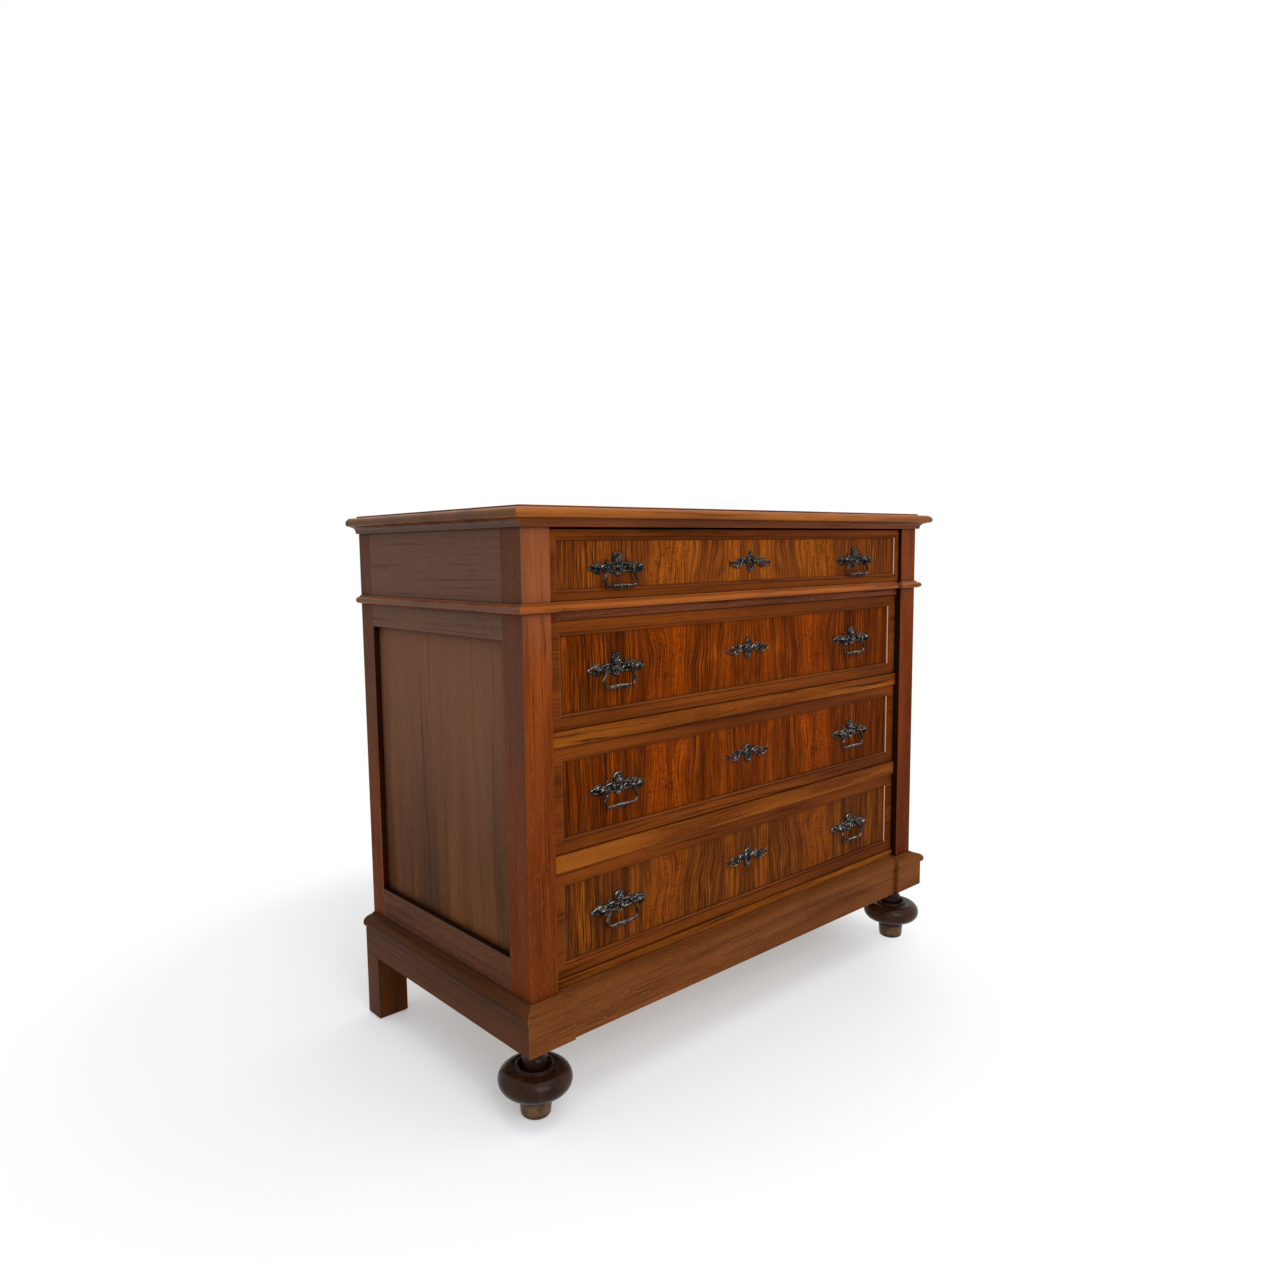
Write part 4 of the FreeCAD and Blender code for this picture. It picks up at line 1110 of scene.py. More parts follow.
# ---------------------------------------------------------------- mouldings
@dataclass
class Moulding:
    """A moulded edge that runs along a plan line and is mitred at its corners.

    Attributes:
        name: Name of its lengths.
        profile: Its section, as (distance out, height).
        path: Corners of the plan line.
        inner: How far its section reaches in from the plan line.
        spare: How much longer than needed each length is before it is sawn.
    """

    name: str
    profile: list[Flat]
    path: list[Flat]
    inner: float = 0.0
    spare: float = 0.002

    def directions(self) -> list[Vector]:
        """The outward direction of each run, which is to the right of travel."""
        steps = [Vector((b[0] - a[0], b[1] - a[1], 0)).normalized() for a, b in zip(self.path, self.path[1:])]
        return [Vector((step.y, -step.x, 0)) for step in steps]

    def runs(self) -> list[Piece]:
        """Extrudes each run a little too long, then saws both its mitres.

        Returns:
            One piece for each run.
        """
        out = self.directions()
        excess = max(p[0] for p in self.profile) + self.inner + self.spare
        made = []
        for i, face in enumerate(out):
            start, end = (Vector((*self.path[i + k], 0)) for k in (0, 1))
            along = (end - start).normalized()
            origin = start - along * excess
            corners = [origin + face * p + Vector((0, 0, z)) for p, z in self.profile]
            length = (end - start).length + 2 * excess
            piece = Bench.prism(f"{self.name}_{i}", corners, along * length)
            for place, ahead, neighbour in ((start, -along, i - 1), (end, along, i + 1)):
                normal = ahead
                if 0 <= neighbour < len(out):
                    meet = (face + out[neighbour]).normalized()
                    normal = (ahead - meet * ahead.dot(meet)).normalized()
                Bench.cut(place, normal)
            Bench.close_skin()
            Bench.rest()
            made.append(piece)
        return made


@dataclass
class Carcass:
    """Half sizes of the carcass in plan that the mouldings are set out from."""

    half_width: float = 0.5715
    post_inner: float = 0.5145
    front: float = -0.25525
    setback: float = 0.0105
    back: float = 0.28975

    def broken_path(self) -> list[Flat]:
        """The plan line that breaks forward over both front posts.

        Returns:
            Its corners, from the left rear to the right rear.
        """
        left = [(-self.half_width, self.back), (-self.half_width, self.front), (-self.post_inner, self.front),
                (-self.post_inner, self.front + self.setback)]
        return left + [(-x, y) for x, y in reversed(left)]

    def plain_path(self) -> list[Flat]:
        """The plan line round the left side, the front and the right side."""
        left = [(-self.half_width, self.back), (-self.half_width, self.front)]
        return left + [(-x, y) for x, y in reversed(left)]


@dataclass
class Plinth:
    """The plinth boards with their nosed top edge."""

    carcass: Carcass
    base: float = 0.131
    height: float = 0.081
    thickness: float = 0.020
    nose: float = 0.0055
    centre_drop: float = 0.004

    def profile(self, drop: float) -> list[Flat]:
        """The board's section: flat face, nose, sloping top and small quirk.

        Args:
            drop: How far the lower edge hangs below the others.

        Returns:
            Points of (distance out, height).
        """
        out, z = self.thickness, self.base
        tip = z + 0.0655
        points = [(0.0, z - drop), (out - 0.0008, z - drop), (out, z - drop + 0.0008), (out, z + 0.0560)]
        points += arc((out, tip - 0.003), (self.nose, 0.0062), -75, 0, 4)
        points += arc((0.0095, tip - 0.001), (out + self.nose - 0.0095, 0.0125), 8, 78, 8)
        points += [(0.0060, z + 0.0785), (0.0042, z + 0.0785)]
        return points + [(0.0038, z + self.height), (0.0, z + self.height)]

    def build(self) -> None:
        """Makes the side boards, the corner blocks and the lower-hanging centre board."""
        runs = Moulding("plinth", self.profile(0.0), self.carcass.broken_path()).runs()
        low = Moulding("plinth_low", self.profile(self.centre_drop), self.carcass.broken_path()).runs()
        centre = len(runs) // 2
        Bench.discard(runs[centre], *low[:centre], *low[centre + 1:])
        runs[centre] = low[centre]
        front = Bench.join("plinth_front_moulded", runs[1:-1])
        Bench.deliver(front, PLINTH.material(), "carcass", "walnut_dark", ["plinth_front"])
        for run, side in zip((runs[0], runs[-1]), SIDES):
            run.name = f"plinth_{side}_moulded"
            Bench.deliver(run, PLINTH_SIDE.material(), "carcass", "walnut_dark", [f"plinth_{side}"])


@dataclass
class WaistMoulding:
    """The rounded moulding at the waist."""

    carcass: Carcass
    base: float = 0.8535
    height: float = 0.016
    overhang: float = 0.0123
    fillet: float = 0.003

    def profile(self) -> list[Flat]:
        """The moulding's section: a half-round nose with a small step above it.

        Returns:
            Points of (distance out, height).
        """
        nose = (self.height - self.fillet) / 2
        points = [(0.0, self.base)]
        points += arc((0.004, self.base + nose), (self.overhang - 0.004, nose), -90, 90, 14)
        return points + [(0.0038, self.base + self.height), (0.0, self.base + self.height)]

    def build(self) -> None:
        """Makes the mitred lengths and joins them."""
        runs = Moulding("waist", self.profile(), self.carcass.broken_path()).runs()
        piece = Bench.join("waist_moulding_rounded", runs)
        Bench.deliver(piece, NOSE.material(), "carcass", "walnut_dark", ["waist_moulding"])


@dataclass
class Top:
    """The hollow-moulded frame below the top and the top board with its thumbnail edge."""

    carcass: Carcass
    frame_base: float = 0.991
    frame_height: float = 0.014
    frame_width: float = 0.057
    back_rail_width: float = 0.046
    slab_base: float = 1.005
    slab_height: float = 0.0165
    overhang: float = 0.028
    mortise_middle: Flat = (-0.009, -0.23025)
    mortise_half: Flat = (0.0105, 0.004)
    mortise_depth: float = 0.009
    mortise_spare: float = 0.002

    def hollow(self) -> list[Flat]:
        """Section of the frame: small lip, hollow, fillet.

        Returns:
            Points of (distance out, height).
        """
        z, high = self.frame_base, self.frame_base + self.frame_height
        points = [(-self.frame_width, z), (0.0065, z), (0.007, z + 0.0008), (0.007, z + 0.002)]
        points += arc((0.019, z + 0.0025), (0.012, 0.0105), 180, 90, 10)
        return points + [(0.019, high), (-self.frame_width, high)]

    def thumbnail(self) -> list[Flat]:
        """Section of the top board's edge: half-round below, thumbnail above.

        Returns:
            Points of (distance out, height).
        """
        z, out = self.slab_base, self.overhang
        points = [(-self.frame_width, z), (out - 0.0052, z)]
        points += arc((out - 0.0052, z + 0.0058), (0.0052, 0.0058), -70, 0, 5)
        points += arc((out - 0.013, z + 0.0062), (0.013, self.slab_height - 0.0062), 6, 90, 10)
        return points + [(-self.frame_width, z + self.slab_height)]

    def build(self) -> None:
        """Makes the frame, the edge of the board and the board's middle."""
        path = self.carcass.plain_path()
        runs = Moulding("cornice", self.hollow(), path, inner=self.frame_width).runs()
        self.mortise(runs[1])
        runs.append(self.bar("cornice_back", self.carcass.back - self.back_rail_width, self.frame_base,
                             self.frame_height))
        piece = Bench.join("cornice_hollow_frame", runs)
        Bench.deliver(piece, CORNICE.material(), "carcass", "walnut_dark", ["cornice_frame"])
        edge = Moulding("top_edge", self.thumbnail(), path, inner=self.frame_width).runs()
        edge.append(self.bar("top_middle", self.carcass.front + self.frame_width, self.slab_base,
                             self.slab_height))
        board = Bench.join("top_board_moulded", edge)
        Bench.deliver(board, TOP_EDGE.material(), "carcass", "walnut_dark", ["top_slab"])

    def mortise(self, piece: Piece) -> None:
        """Cuts the pocket in the frame's underside that the top drawer's bolt enters.

        Args:
            piece: The front length of the frame.
        """
        (x, y), (half_x, half_y) = self.mortise_middle, self.mortise_half
        low, high = self.frame_base - self.mortise_spare, self.frame_base + self.mortise_depth
        corners = [(x - half_x, y - half_y, low), (x - half_x, y + half_y, low),
                   (x - half_x, y + half_y, high), (x - half_x, y - half_y, high)]
        tool = Bench.prism("mortise_tool", corners, Vector((2 * half_x, 0, 0)))
        Bench.rest()
        Bench.subtract(piece, tool)

    def bar(self, name: str, front: float, base: float, height: float) -> Piece:
        """Makes a plain bar from the left post to the right one, as deep as from a front line to the back.

        Args:
            name: Name of the new piece.
            front: Where its front lies along Y.
            base: Height of its underside.
            height: Its thickness.

        Returns:
            The bar.
        """
        x, back = self.carcass.post_inner, self.carcass.back
        end = [(-x, front, base), (-x, back, base), (-x, back, base + height), (-x, front, base + height)]
        piece = Bench.prism(name, end, Vector((2 * x, 0, 0)))
        Bench.rest()
        return piece


@dataclass
class TurnedFoot:
    """A turned front foot: collar, neck in a dished ring, bun and toe."""

    x: float = 0.545
    y: float = -0.22575
    steps: int = 64

    def profile(self) -> list[Flat]:
        """The lathe profile from the underside of the plinth to the floor.

        Returns:
            Points of (radius, height).
        """
        points = [(0.0, 0.131), (0.024, 0.131), (0.024, 0.1265)]
        points += arc((0.0215, 0.1235), (0.0022, 0.0022), 60, -60, 4)
        points += arc((0.0405, 0.1085), (0.0225, 0.0150), 150, 215, 7)
        points += arc((0.0252, 0.0850), (0.0034, 0.0034), 175, 275, 5)
        points += arc((0.0315, 0.0866), (0.0026, 0.0026), 150, -20, 6)
        points += arc((0.0360, 0.0850), (0.0018, 0.0014), 200, 300, 3)
        points += arc((0.0430, 0.0640), (0.0210, 0.0210), 96, -88, 22)
        points += arc((0.0310, 0.0412), (0.0026, 0.0020), 110, 190, 3)
        points += [(0.0284, 0.0340), (0.0276, 0.0200), (0.0266, 0.0090)]
        points += arc((0.0215, 0.0060), (0.0048, 0.0060), 10, -90, 6)
        return points + [(0.0, 0.0)]

    def build(self) -> None:
        """Turns the left foot and copies it to the right."""
        corners = [(-self.x + r, self.y, z) for r, z in self.profile()]
        centre = Vector((-self.x, self.y, 0))
        foot = Bench.turned("front_foot_left_turned", corners, centre, Vector((0, 0, 1)), self.steps)
        twin = Bench.copy(foot, "front_foot_right_turned", Vector((2 * self.x, 0, 0)))
        for piece, side in zip((foot, twin), SIDES):
            Bench.deliver(piece, FOOT.material(), "carcass", "walnut_dark", [f"front_foot_{side}"],
                          TURNED_SMOOTH)


# ---------------------------------------------------------------- cast work of the pulls
@dataclass
class Casting:
    """Ways to model cast openwork: flat grounds, tapering scrolls and beads, on the plane y = 0.

    Attributes:
        name: Name of the casting.
        parts: What was added so far.
        bend_step: Most degrees that a scroll turns by from one ring to the next.
    """

    name: str
    parts: list[Piece] = field(default_factory=list)
    bend_step: float = 24.0

    def pair(self, piece: Piece) -> None:
        """Adds a piece and its opposite on the other side."""
        self.parts += [piece, Bench.mirror_x(piece, f"{piece.name}_b")]

    @staticmethod
    def flat(name: str, outline: Sequence[Flat], thickness: float, ease: float) -> Piece:
        """Cuts a flat plate with a rounded front edge, standing forward of y = 0.

        Args:
            name: Name of the new piece.
            outline: Its corners, as (x, z).
            thickness: How far it stands forward.
            ease: Width of its rounded front edge.

        Returns:
            The plate.
        """
        piece = Bench.prism(name, [(x, 0.0, z) for x, z in outline], Vector((0, -thickness, 0)))
        Bench.ease_front(thickness, ease)
        Bench.rest()
        return piece

    def ground(self, half: Sequence[Flat], thickness: float, ease: float) -> None:
        """Adds a flat ground, symmetrical about x = 0.

        Args:
            half: Its right half from the top middle to the bottom middle, as (x, z).
            thickness: How far it stands forward.
            ease: Width of its rounded front edge.
        """
        outline = list(half) + [(-x, z) for x, z in reversed(half[1:-1])]
        self.parts.append(self.flat(f"{self.name}_ground", outline, thickness, ease))

    def scroll(self, start: Flat, heading: float, bends: Sequence[Flat], thick: Flat, depth: float,
               sides: int = 7, bead: float = 0.0) -> None:
        """Adds a tapering bar that bends through a chain of arcs, and its opposite on the other side.

        Args:
            start: Where it begins, as (x, z).
            heading: Direction it sets out in, in degrees from +X towards +Z.
            bends: For each stretch its length and how many degrees it turns by.
            thick: Radius at the beginning and at the end.
            depth: How far its middle line stands forward of y = 0.
            sides: Flats round the bar.
            bead: Radius of a bead at its end, or 0 for none.
        """
        x, z, turn = start[0], start[1], radians(heading)
        Bench.take()
        bpy.ops.mesh.primitive_circle_add(vertices=sides, radius=thick[0], fill_type="NGON",
                                          location=(x, -depth, z), rotation=(0, pi / 2 - turn, 0))
        piece = bpy.context.active_object
        piece.name = f"{self.name}_scroll"
        bpy.ops.object.transform_apply(location=True, rotation=True, scale=False)
        Bench.edit()
        bpy.ops.mesh.select_all(action="SELECT")
        counts = [max(2, round(abs(angle) / self.bend_step)) for _, angle in bends]
        done, radius = 0, thick[0]
        for (length, angle), steps in zip(bends, counts):
            step, bend = length / steps, radians(angle / steps)
            for _ in range(steps):
                turn += bend / 2
                shift = Vector((cos(turn) * step, 0, sin(turn) * step))
                turn += bend / 2
                x, z = x + shift.x, z + shift.z
                bpy.ops.mesh.extrude_region_move(TRANSFORM_OT_translate={"value": shift})
                bpy.ops.transform.rotate(value=bend, orient_axis="Y", center_override=(x, -depth, z))
                done += 1
                wanted = thick[0] + (thick[1] - thick[0]) * done / sum(counts)
                bpy.ops.transform.resize(value=(wanted / radius,) * 3, center_override=(x, -depth, z))
                radius = wanted
        Bench.close_skin()
        Bench.rest()
        if start[0] > SAME_PLACE:
            self.pair(piece)
        else:
            self.parts.append(piece)
        if bead:
            self.bead((x, z), bead, depth)

    def bead(self, place: Flat, radius: float, depth: float, flat: float = 0.75) -> None:
        """Adds a bead and, if it stands off the middle, its opposite.

        Args:
            place: Its middle, as (x, z).
            radius: Its radius.
            depth: How far its middle stands forward of y = 0.
            flat: Its depth over its width.
        """
        Bench.take()
        for side in ((1, -1) if place[0] > SAME_PLACE else (1,)):
            bpy.ops.mesh.primitive_uv_sphere_add(segments=12, ring_count=8, radius=radius,
                                                 location=(side * place[0], -depth, place[1]))
            piece = bpy.context.active_object
            piece.name = f"{self.name}_bead"
            bpy.ops.object.transform_apply(location=True, rotation=False, scale=False)
            Bench.edit()
            bpy.ops.mesh.select_all(action="SELECT")
            bpy.ops.transform.resize(value=(1, flat, 1), center_override=(side * place[0], -depth, place[1]))
            Bench.rest()
            self.parts.append(piece)

    def turning(self, place: Flat, profile: Sequence[Flat], steps: int = 20) -> None:
        """Adds a small turned form that stands forward, and its opposite.

        Args:
            place: Its axis, as (x, z).
            profile: (radius, distance forward) from the ground to the tip.
            steps: Flats in a full turn.
        """
        x, z = place
        corners = [(x + radius, -out, z) for radius, out in profile]
        self.pair(Bench.turned(f"{self.name}_turning", corners, Vector((x, 0, z)), Vector((0, 1, 0)), steps))

    def turning_along(self, place: Flat, profile: Sequence[Flat], steps: int = 16) -> None:
        """Adds a small turned form that lies along X, and its opposite.

        Args:
            place: The middle of its axis, as (x, z).
            profile: (radius, distance along X) of its right half.
            steps: Flats in a full turn.
        """
        x, z = place
        corners = [(x + along, 0.0, z + radius) for radius, along in profile]
        self.pair(Bench.turned(f"{self.name}_turning", corners, Vector((x, 0, z)), Vector((1, 0, 0)), steps))

    def join(self) -> Piece:
        """Joins all that was added into one casting."""
        return Bench.join(self.name, self.parts)


@dataclass
class Pull:
    """A bail pull: pierced plate with crest, scrolls and pendant, two bosses, and a swinging handle.

    Attributes:
        boss: Distance of each boss from the middle.
        axis_out: How far the bail's axis stands forward of the panel.
        drop: How far the grip hangs below the axis.
        rod: Half the height of the bail's pin.
        boss_thickness: Thickness of the pointed boss plates.
        boss_ease: Width of their rounded front edge.
    """

    boss: float = 0.044
    axis_out: float = 0.011
    drop: float = 0.031
    rod: float = 0.0022
    boss_thickness: float = 0.0013
    boss_ease: float = 0.0004

    def plate(self) -> Piece:
        """Casts the plate, its middle at the origin and its back on y = 0.

        Returns:
            The joined plate.
        """
        cast = Casting("pull_plate")
        cast.ground([(0.0, 0.0080), (0.0085, 0.0080), (0.0300, 0.0074), (0.0350, 0.0040), (0.0350, -0.0040),
                     (0.0300, -0.0062), (0.0100, -0.0060), (0.0060, -0.0088), (0.0, -0.0104)], 0.0011, 0.0003)
        self.crest(cast)
        self.scrollwork(cast)
        self.bosses(cast)
        self.pendant(cast)
        return cast.join()

    def crest(self, cast: Casting) -> None:
        """Adds the broad hooded crest: a rim that curls in at both ends, a fluted shell and its stem.

        Args:
            cast: The casting it belongs to.
        """
        cast.ground([(0.0, 0.0262), (0.0045, 0.0252), (0.0080, 0.0222), (0.0092, 0.0180), (0.0082, 0.0138),
                     (0.0050, 0.0110), (0.0052, 0.0070), (0.0, 0.0065)], 0.0016, 0.0005)
        cast.scroll((0.0003, 0.0250), 4, [(0.0075, -50), (0.0085, -66), (0.0070, -80), (0.0050, -110),
                    (0.0030, -110)], (0.0021, 0.0011), 0.0026, bead=0.0016)
        for lean, reach in ((90, 0.0085), (58, 0.0078)):
            start = (0.0 if lean == 90 else 0.0012, 0.0132)
            cast.scroll(start, lean, [(reach, 0)], (0.0010, 0.0017), 0.0026, bead=0.0014)
        cast.scroll((0.0020, 0.0072), 96, [(0.0042, -24), (0.0045, 92), (0.0030, 110)], (0.0018, 0.0010),
                    0.0024, bead=0.0013)
        cast.bead((0.0, 0.0112), 0.0024, 0.0026, 0.8)

    def scrollwork(self, cast: Casting) -> None:
        """Adds the C-scrolls between the crest and the bosses, their borders and small finials.

        Args:
            cast: The casting they belong to.
        """
        cast.scroll((0.0060, -0.0048), 20, [(0.0060, 46), (0.0080, 150), (0.0055, 130), (0.0032, 110)],
                    (0.0017, 0.0009), 0.0021, bead=0.0013)
        cast.scroll((0.0335, -0.0048), 160, [(0.0060, -46), (0.0080, -150), (0.0055, -130), (0.0032, -110)],
                    (0.0017, 0.0009), 0.0021, bead=0.0013)
        cast.scroll((0.0150, -0.0040), 95, [(0.0060, -60), (0.0060, -80)], (0.0014, 0.0011), 0.0019,
                    bead=0.0012)
        cast.scroll((0.0060, 0.0080), 0, [(0.0130, -6), (0.0140, -16)], (0.0016, 0.0016), 0.0018)
        cast.scroll((0.0090, -0.0066), 0, [(0.0120, 2), (0.0130, 14)], (0.0016, 0.0014), 0.0018)
        cast.scroll((0.0238, 0.0060), 90, [(0.0070, 0)], (0.0016, 0.0012), 0.0014)
        for place, radius in (((0.0238, 0.0134), 0.0019), ((0.0214, 0.0103), 0.0017),
                              ((0.0262, 0.0099), 0.0017)):
            cast.bead(place, radius, 0.0018)
        for place in ((0.0125, 0.0052), (0.0196, 0.0046), (0.0268, 0.0046)):
            cast.bead(place, 0.0013, 0.0020)

    def bosses(self, cast: Casting) -> None:
        """Adds the pointed boss plates, their rims and the domed knobs on necks.

        Args:
            cast: The casting they belong to.
        """
        boss = self.boss
        outer = [(0.0222, 0.0005), (0.0150, 0.0034), (0.0085, 0.0072), (0.0020, 0.0108), (-0.0050, 0.0102),
                 (-0.0105, 0.0052)]
        outline = [(boss + x, z) for x, z in outer] + [(boss + x, -z) for x, z in reversed(outer)]
        cast.pair(cast.flat("boss_plate", outline, self.boss_thickness, self.boss_ease))
        for up in (1, -1):
            cast.scroll((boss + 0.0212, up * 0.0006), 180 - up * 22, [(0.0105, up * 6), (0.0105, up * 42),
                        (0.0080, up * 52), (0.0060, up * 46)], (0.0013, 0.0016), 0.0017)
        cast.bead((boss + 0.0203, 0.0), 0.0019, 0.0015)
        dish = [(0.0082, 0.0), (0.0082, 0.0014), (0.0074, 0.0028), (0.0064, 0.0034), (0.0054, 0.0026),
                (0.0, 0.0026)]
        cast.turning((boss, 0.0), dish)
        knob = [(0.0, 0.0010), (0.0042, 0.0010), (0.0039, 0.0044)]
        knob += arc((0.0, 0.0112), (0.0066, 0.0062), -52, 90, 10)
        cast.turning((boss, 0.0), knob)

    def pendant(self, cast: Casting) -> None:
        """Adds the trefoil drop below the middle and the boss above it.

        Args:
            cast: The casting it belongs to.
        """
        cast.scroll((0.0062, -0.0066), 262, [(0.0045, -34), (0.0045, -76), (0.0030, -120)], (0.0016, 0.0010),
                    0.0020, bead=0.0011)
        for place, radius in (((0.0, -0.0128), 0.0021), ((0.0030, -0.0100), 0.0018), ((0.0, -0.0070), 0.0022),
                              ((0.0, 0.0004), 0.0042), ((0.0, 0.0060), 0.0022)):
            cast.bead(place, radius, 0.0018)

    def handle(self) -> Piece:
        """Bends the bail, hanging straight down from the axis y = 0, z = 0.

        Returns:
            The joined bail with its turned grip and pins.
        """
        cast = Casting("bail")
        cast.scroll((0.0300, 0.0), 262, [(0.0045, 6), (0.0050, 38), (0.0080, 0), (0.0095, -62), (0.0030, 0),
                                         (0.0070, -64), (0.0190, 0)], (0.0025, 0.0023), 0.0, sides=10)
        cast.turning_along((0.0, -self.drop), self.grip())
        cast.turning_along((0.0, 0.0), [(0.0, 0.0268), (0.0020, 0.0274), (0.0030, 0.0286), (0.0030, 0.0312),
                                        (0.0021, 0.0325), (0.0015, 0.0327), (0.0015, 0.0452), (0.0, 0.0452)])
        return cast.join()

    def grip(self) -> list[Flat]:
        """Profile of the grip's right half: beads between collars.

        Returns:
            Points of (radius, distance along X).
        """
        points = [(0.0, -0.0002), (0.0041, 0.0), (0.0040, 0.0013)]
        for middle, radius in ((0.0045, 0.0040), (0.0091, 0.0037), (0.0132, 0.0034)):
            points += [(radius * 0.68, middle - 0.0021), (radius * 0.93, middle - 0.0011), (radius, middle)]
            points += [(radius * 0.93, middle + 0.0011)]
        points += [(0.0024, 0.0154), (0.0034, 0.0164), (0.0034, 0.0174), (0.0024, 0.0184)]
        return points + [(0.0, 0.0186)]

    def build(self) -> None:
        """Makes one pull and copies it to its eight places."""
        plate, handle = self.plate(), self.handle()
        for number in DRAWER_NUMBERS:
            panel_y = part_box(f"drawer_{number}_panel")[0][1]
            places = []
            for side in SIDES:
                low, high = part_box(f"drawer_{number}_bail_{side}")
                place = Vector(((low[0] + high[0]) / 2, panel_y, high[2] - self.rod))
                places.append(place)
                hung = place - Vector((0, self.axis_out, 0))
                bail = Bench.copy(handle, f"drawer_{number}_handle_{side}", hung)
                Bench.deliver(bail, IRON.material(), f"bail_{number}_{side}", "blackened_iron",
                              [f"drawer_{number}_bail_{side}"], CAST_SMOOTH)
            for side, place in zip(SIDES, places):
                twin = Bench.copy(plate, f"drawer_{number}_pull_plate_{side}", place)
                Bench.deliver(twin, IRON.material(), f"drawer_{number}", "blackened_iron",
                              [f"drawer_{number}_plates"], CAST_SMOOTH)
        Bench.discard(plate, handle)


@dataclass
class KeyPlate:
    """A leaf-shaped key plate with scrolled arms, pierced by the keyhole.

    Attributes:
        middle_x: Place of the keyhole along X.
        bow: Radius of the keyhole's bow.
        slot: Half the width of the keyhole's slot.
        slot_length: How far the slot reaches below the bow's middle.
        heights: Height of each drawer's keyhole, from the top drawer down.
        openings: The round openings of the right arm, as (x, z, radius).
        behind: How far behind the plate the piercing tools start.
        through: How far forward the piercing tools go from there.
    """

    middle_x: float = -0.009
    bow: float = 0.0028
    slot: float = 0.0013
    slot_length: float = 0.0085
    heights: tuple[float, ...] = (0.926, 0.7555, 0.5445, 0.32925)
    openings: tuple[Point, ...] = ((0.0188, 0.0012, 0.0026), (0.0335, -0.0008, 0.0021),
                                   (0.0475, -0.0008, 0.0012))
    behind: float = 0.002
    through: float = 0.006

    def plate(self) -> Piece:
        """Casts the plate, the keyhole's bow at the origin and its back on y = 0.

        Returns:
            The joined plate.
        """
        cast = Casting("key_plate")
        cast.ground([(0.0, 0.0215), (0.0026, 0.0160), (0.0080, 0.0105), (0.0118, 0.0050), (0.0150, 0.0040),
                     (0.0190, 0.0078), (0.0240, 0.0070), (0.0290, 0.0040), (0.0340, 0.0046), (0.0385, 0.0072),
                     (0.0440, 0.0052), (0.0500, 0.0012), (0.0560, 0.0), (0.0622, 0.0048), (0.0600, -0.0030),
                     (0.0530, -0.0044), (0.0450, -0.0024), (0.0380, -0.0052), (0.0300, -0.0066),
                     (0.0230, -0.0042), (0.0160, -0.0036), (0.0105, -0.0066), (0.0062, -0.0120),
                     (0.0028, -0.0158), (0.0, -0.0215)], 0.0012, 0.0003)
        self.pierce(cast.parts[0])
        self.shield(cast)
        self.arms(cast)
        return cast.join()

    def pierce(self, ground: Piece) -> None:
        """Cuts the keyhole and the openings of the arms through the ground.

        Args:
            ground: The flat ground.
        """
        hole = arc((0.0, 0.0), (self.bow, self.bow), -62, 242, 12)
        tools = [[(self.slot, -self.slot_length)] + hole + [(-self.slot, -self.slot_length)]]
        for x, z, radius in self.openings:
            tools += [arc((side * x, z), (radius, radius), 0, 324, 9) for side in (-1, 1)]
        for corners in tools:
            tool = Bench.prism("piercing_tool", [(x, self.behind, z) for x, z in corners],
                               Vector((0, -self.through, 0)))
            Bench.rest()
            Bench.subtract(ground, tool)

    def shield(self, cast: Casting) -> None:
        """Adds the rim round the keyhole and the leaves above and below it.

        Args:
            cast: The casting they belong to.
        """
        cast.scroll((0.0002, 0.0068), 0, [(0.0080, -66), (0.0110, -40), (0.0090, 30)], (0.0015, 0.0013),
                    0.0018)
        cast.scroll((0.0076, 0.0086), 100, [(0.0060, 34), (0.0060, 60), (0.0034, 120)], (0.0016, 0.0010),
                    0.0018, bead=0.0012)
        cast.scroll((0.0062, -0.0100), 262, [(0.0060, -30), (0.0050, -60), (0.0034, -120)], (0.0015, 0.0010),
                    0.0018, bead=0.0012)
        cast.scroll((0.0, 0.0110), 90, [(0.0100, 0)], (0.0021, 0.0008), 0.0018, bead=0.0013)
        cast.scroll((0.0, -0.0140), 270, [(0.0072, 0)], (0.0019, 0.0008), 0.0018, bead=0.0013)
        for place in ((0.0030, 0.0182), (0.0028, -0.0190)):
            cast.bead(place, 0.0013, 0.0016)

    def arms(self, cast: Casting) -> None:
        """Adds the scrolled arms that taper to curled-up tips.

        Args:
            cast: The casting they belong to.
        """
        cast.scroll((0.0090, -0.0020), 30, [(0.0080, 20), (0.0080, -90), (0.0100, -36), (0.0090, 60),
                    (0.0120, 40), (0.0100, -20), (0.0080, 50)], (0.0021, 0.0010), 0.0017, bead=0.0014)
        cast.scroll((0.0230, 0.0020), 205, [(0.0060, 70), (0.0055, 110), (0.0035, 110)], (0.0017, 0.0010),
                    0.0018, bead=0.0012)
        cast.scroll((0.0240, 0.0000), 20, [(0.0070, 60), (0.0060, 120), (0.0035, 110)], (0.0016, 0.0009),
                    0.0018, bead=0.0012)
        cast.scroll((0.0360, -0.0050), 350, [(0.0060, -50), (0.0050, -110), (0.0030, -110)], (0.0015, 0.0009),
                    0.0016, bead=0.0011)
        cast.scroll((0.0440, -0.0020), 60, [(0.0050, 60), (0.0045, 110), (0.0030, 110)], (0.0014, 0.0009),
                    0.0016, bead=0.0010)

    def build(self) -> None:
        """Makes one key plate and copies it to the four drawers."""
        plate = self.plate()
        for number, height in zip(DRAWER_NUMBERS, self.heights):
            panel_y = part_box(f"drawer_{number}_panel")[0][1]
            twin = Bench.copy(plate, f"drawer_{number}_key_plate", Vector((self.middle_x, panel_y, height)))
            Bench.deliver(twin, IRON.material(), f"drawer_{number}", "blackened_iron",
                          [f"drawer_{number}_plates"], CAST_SMOOTH)
        Bench.discard(plate)


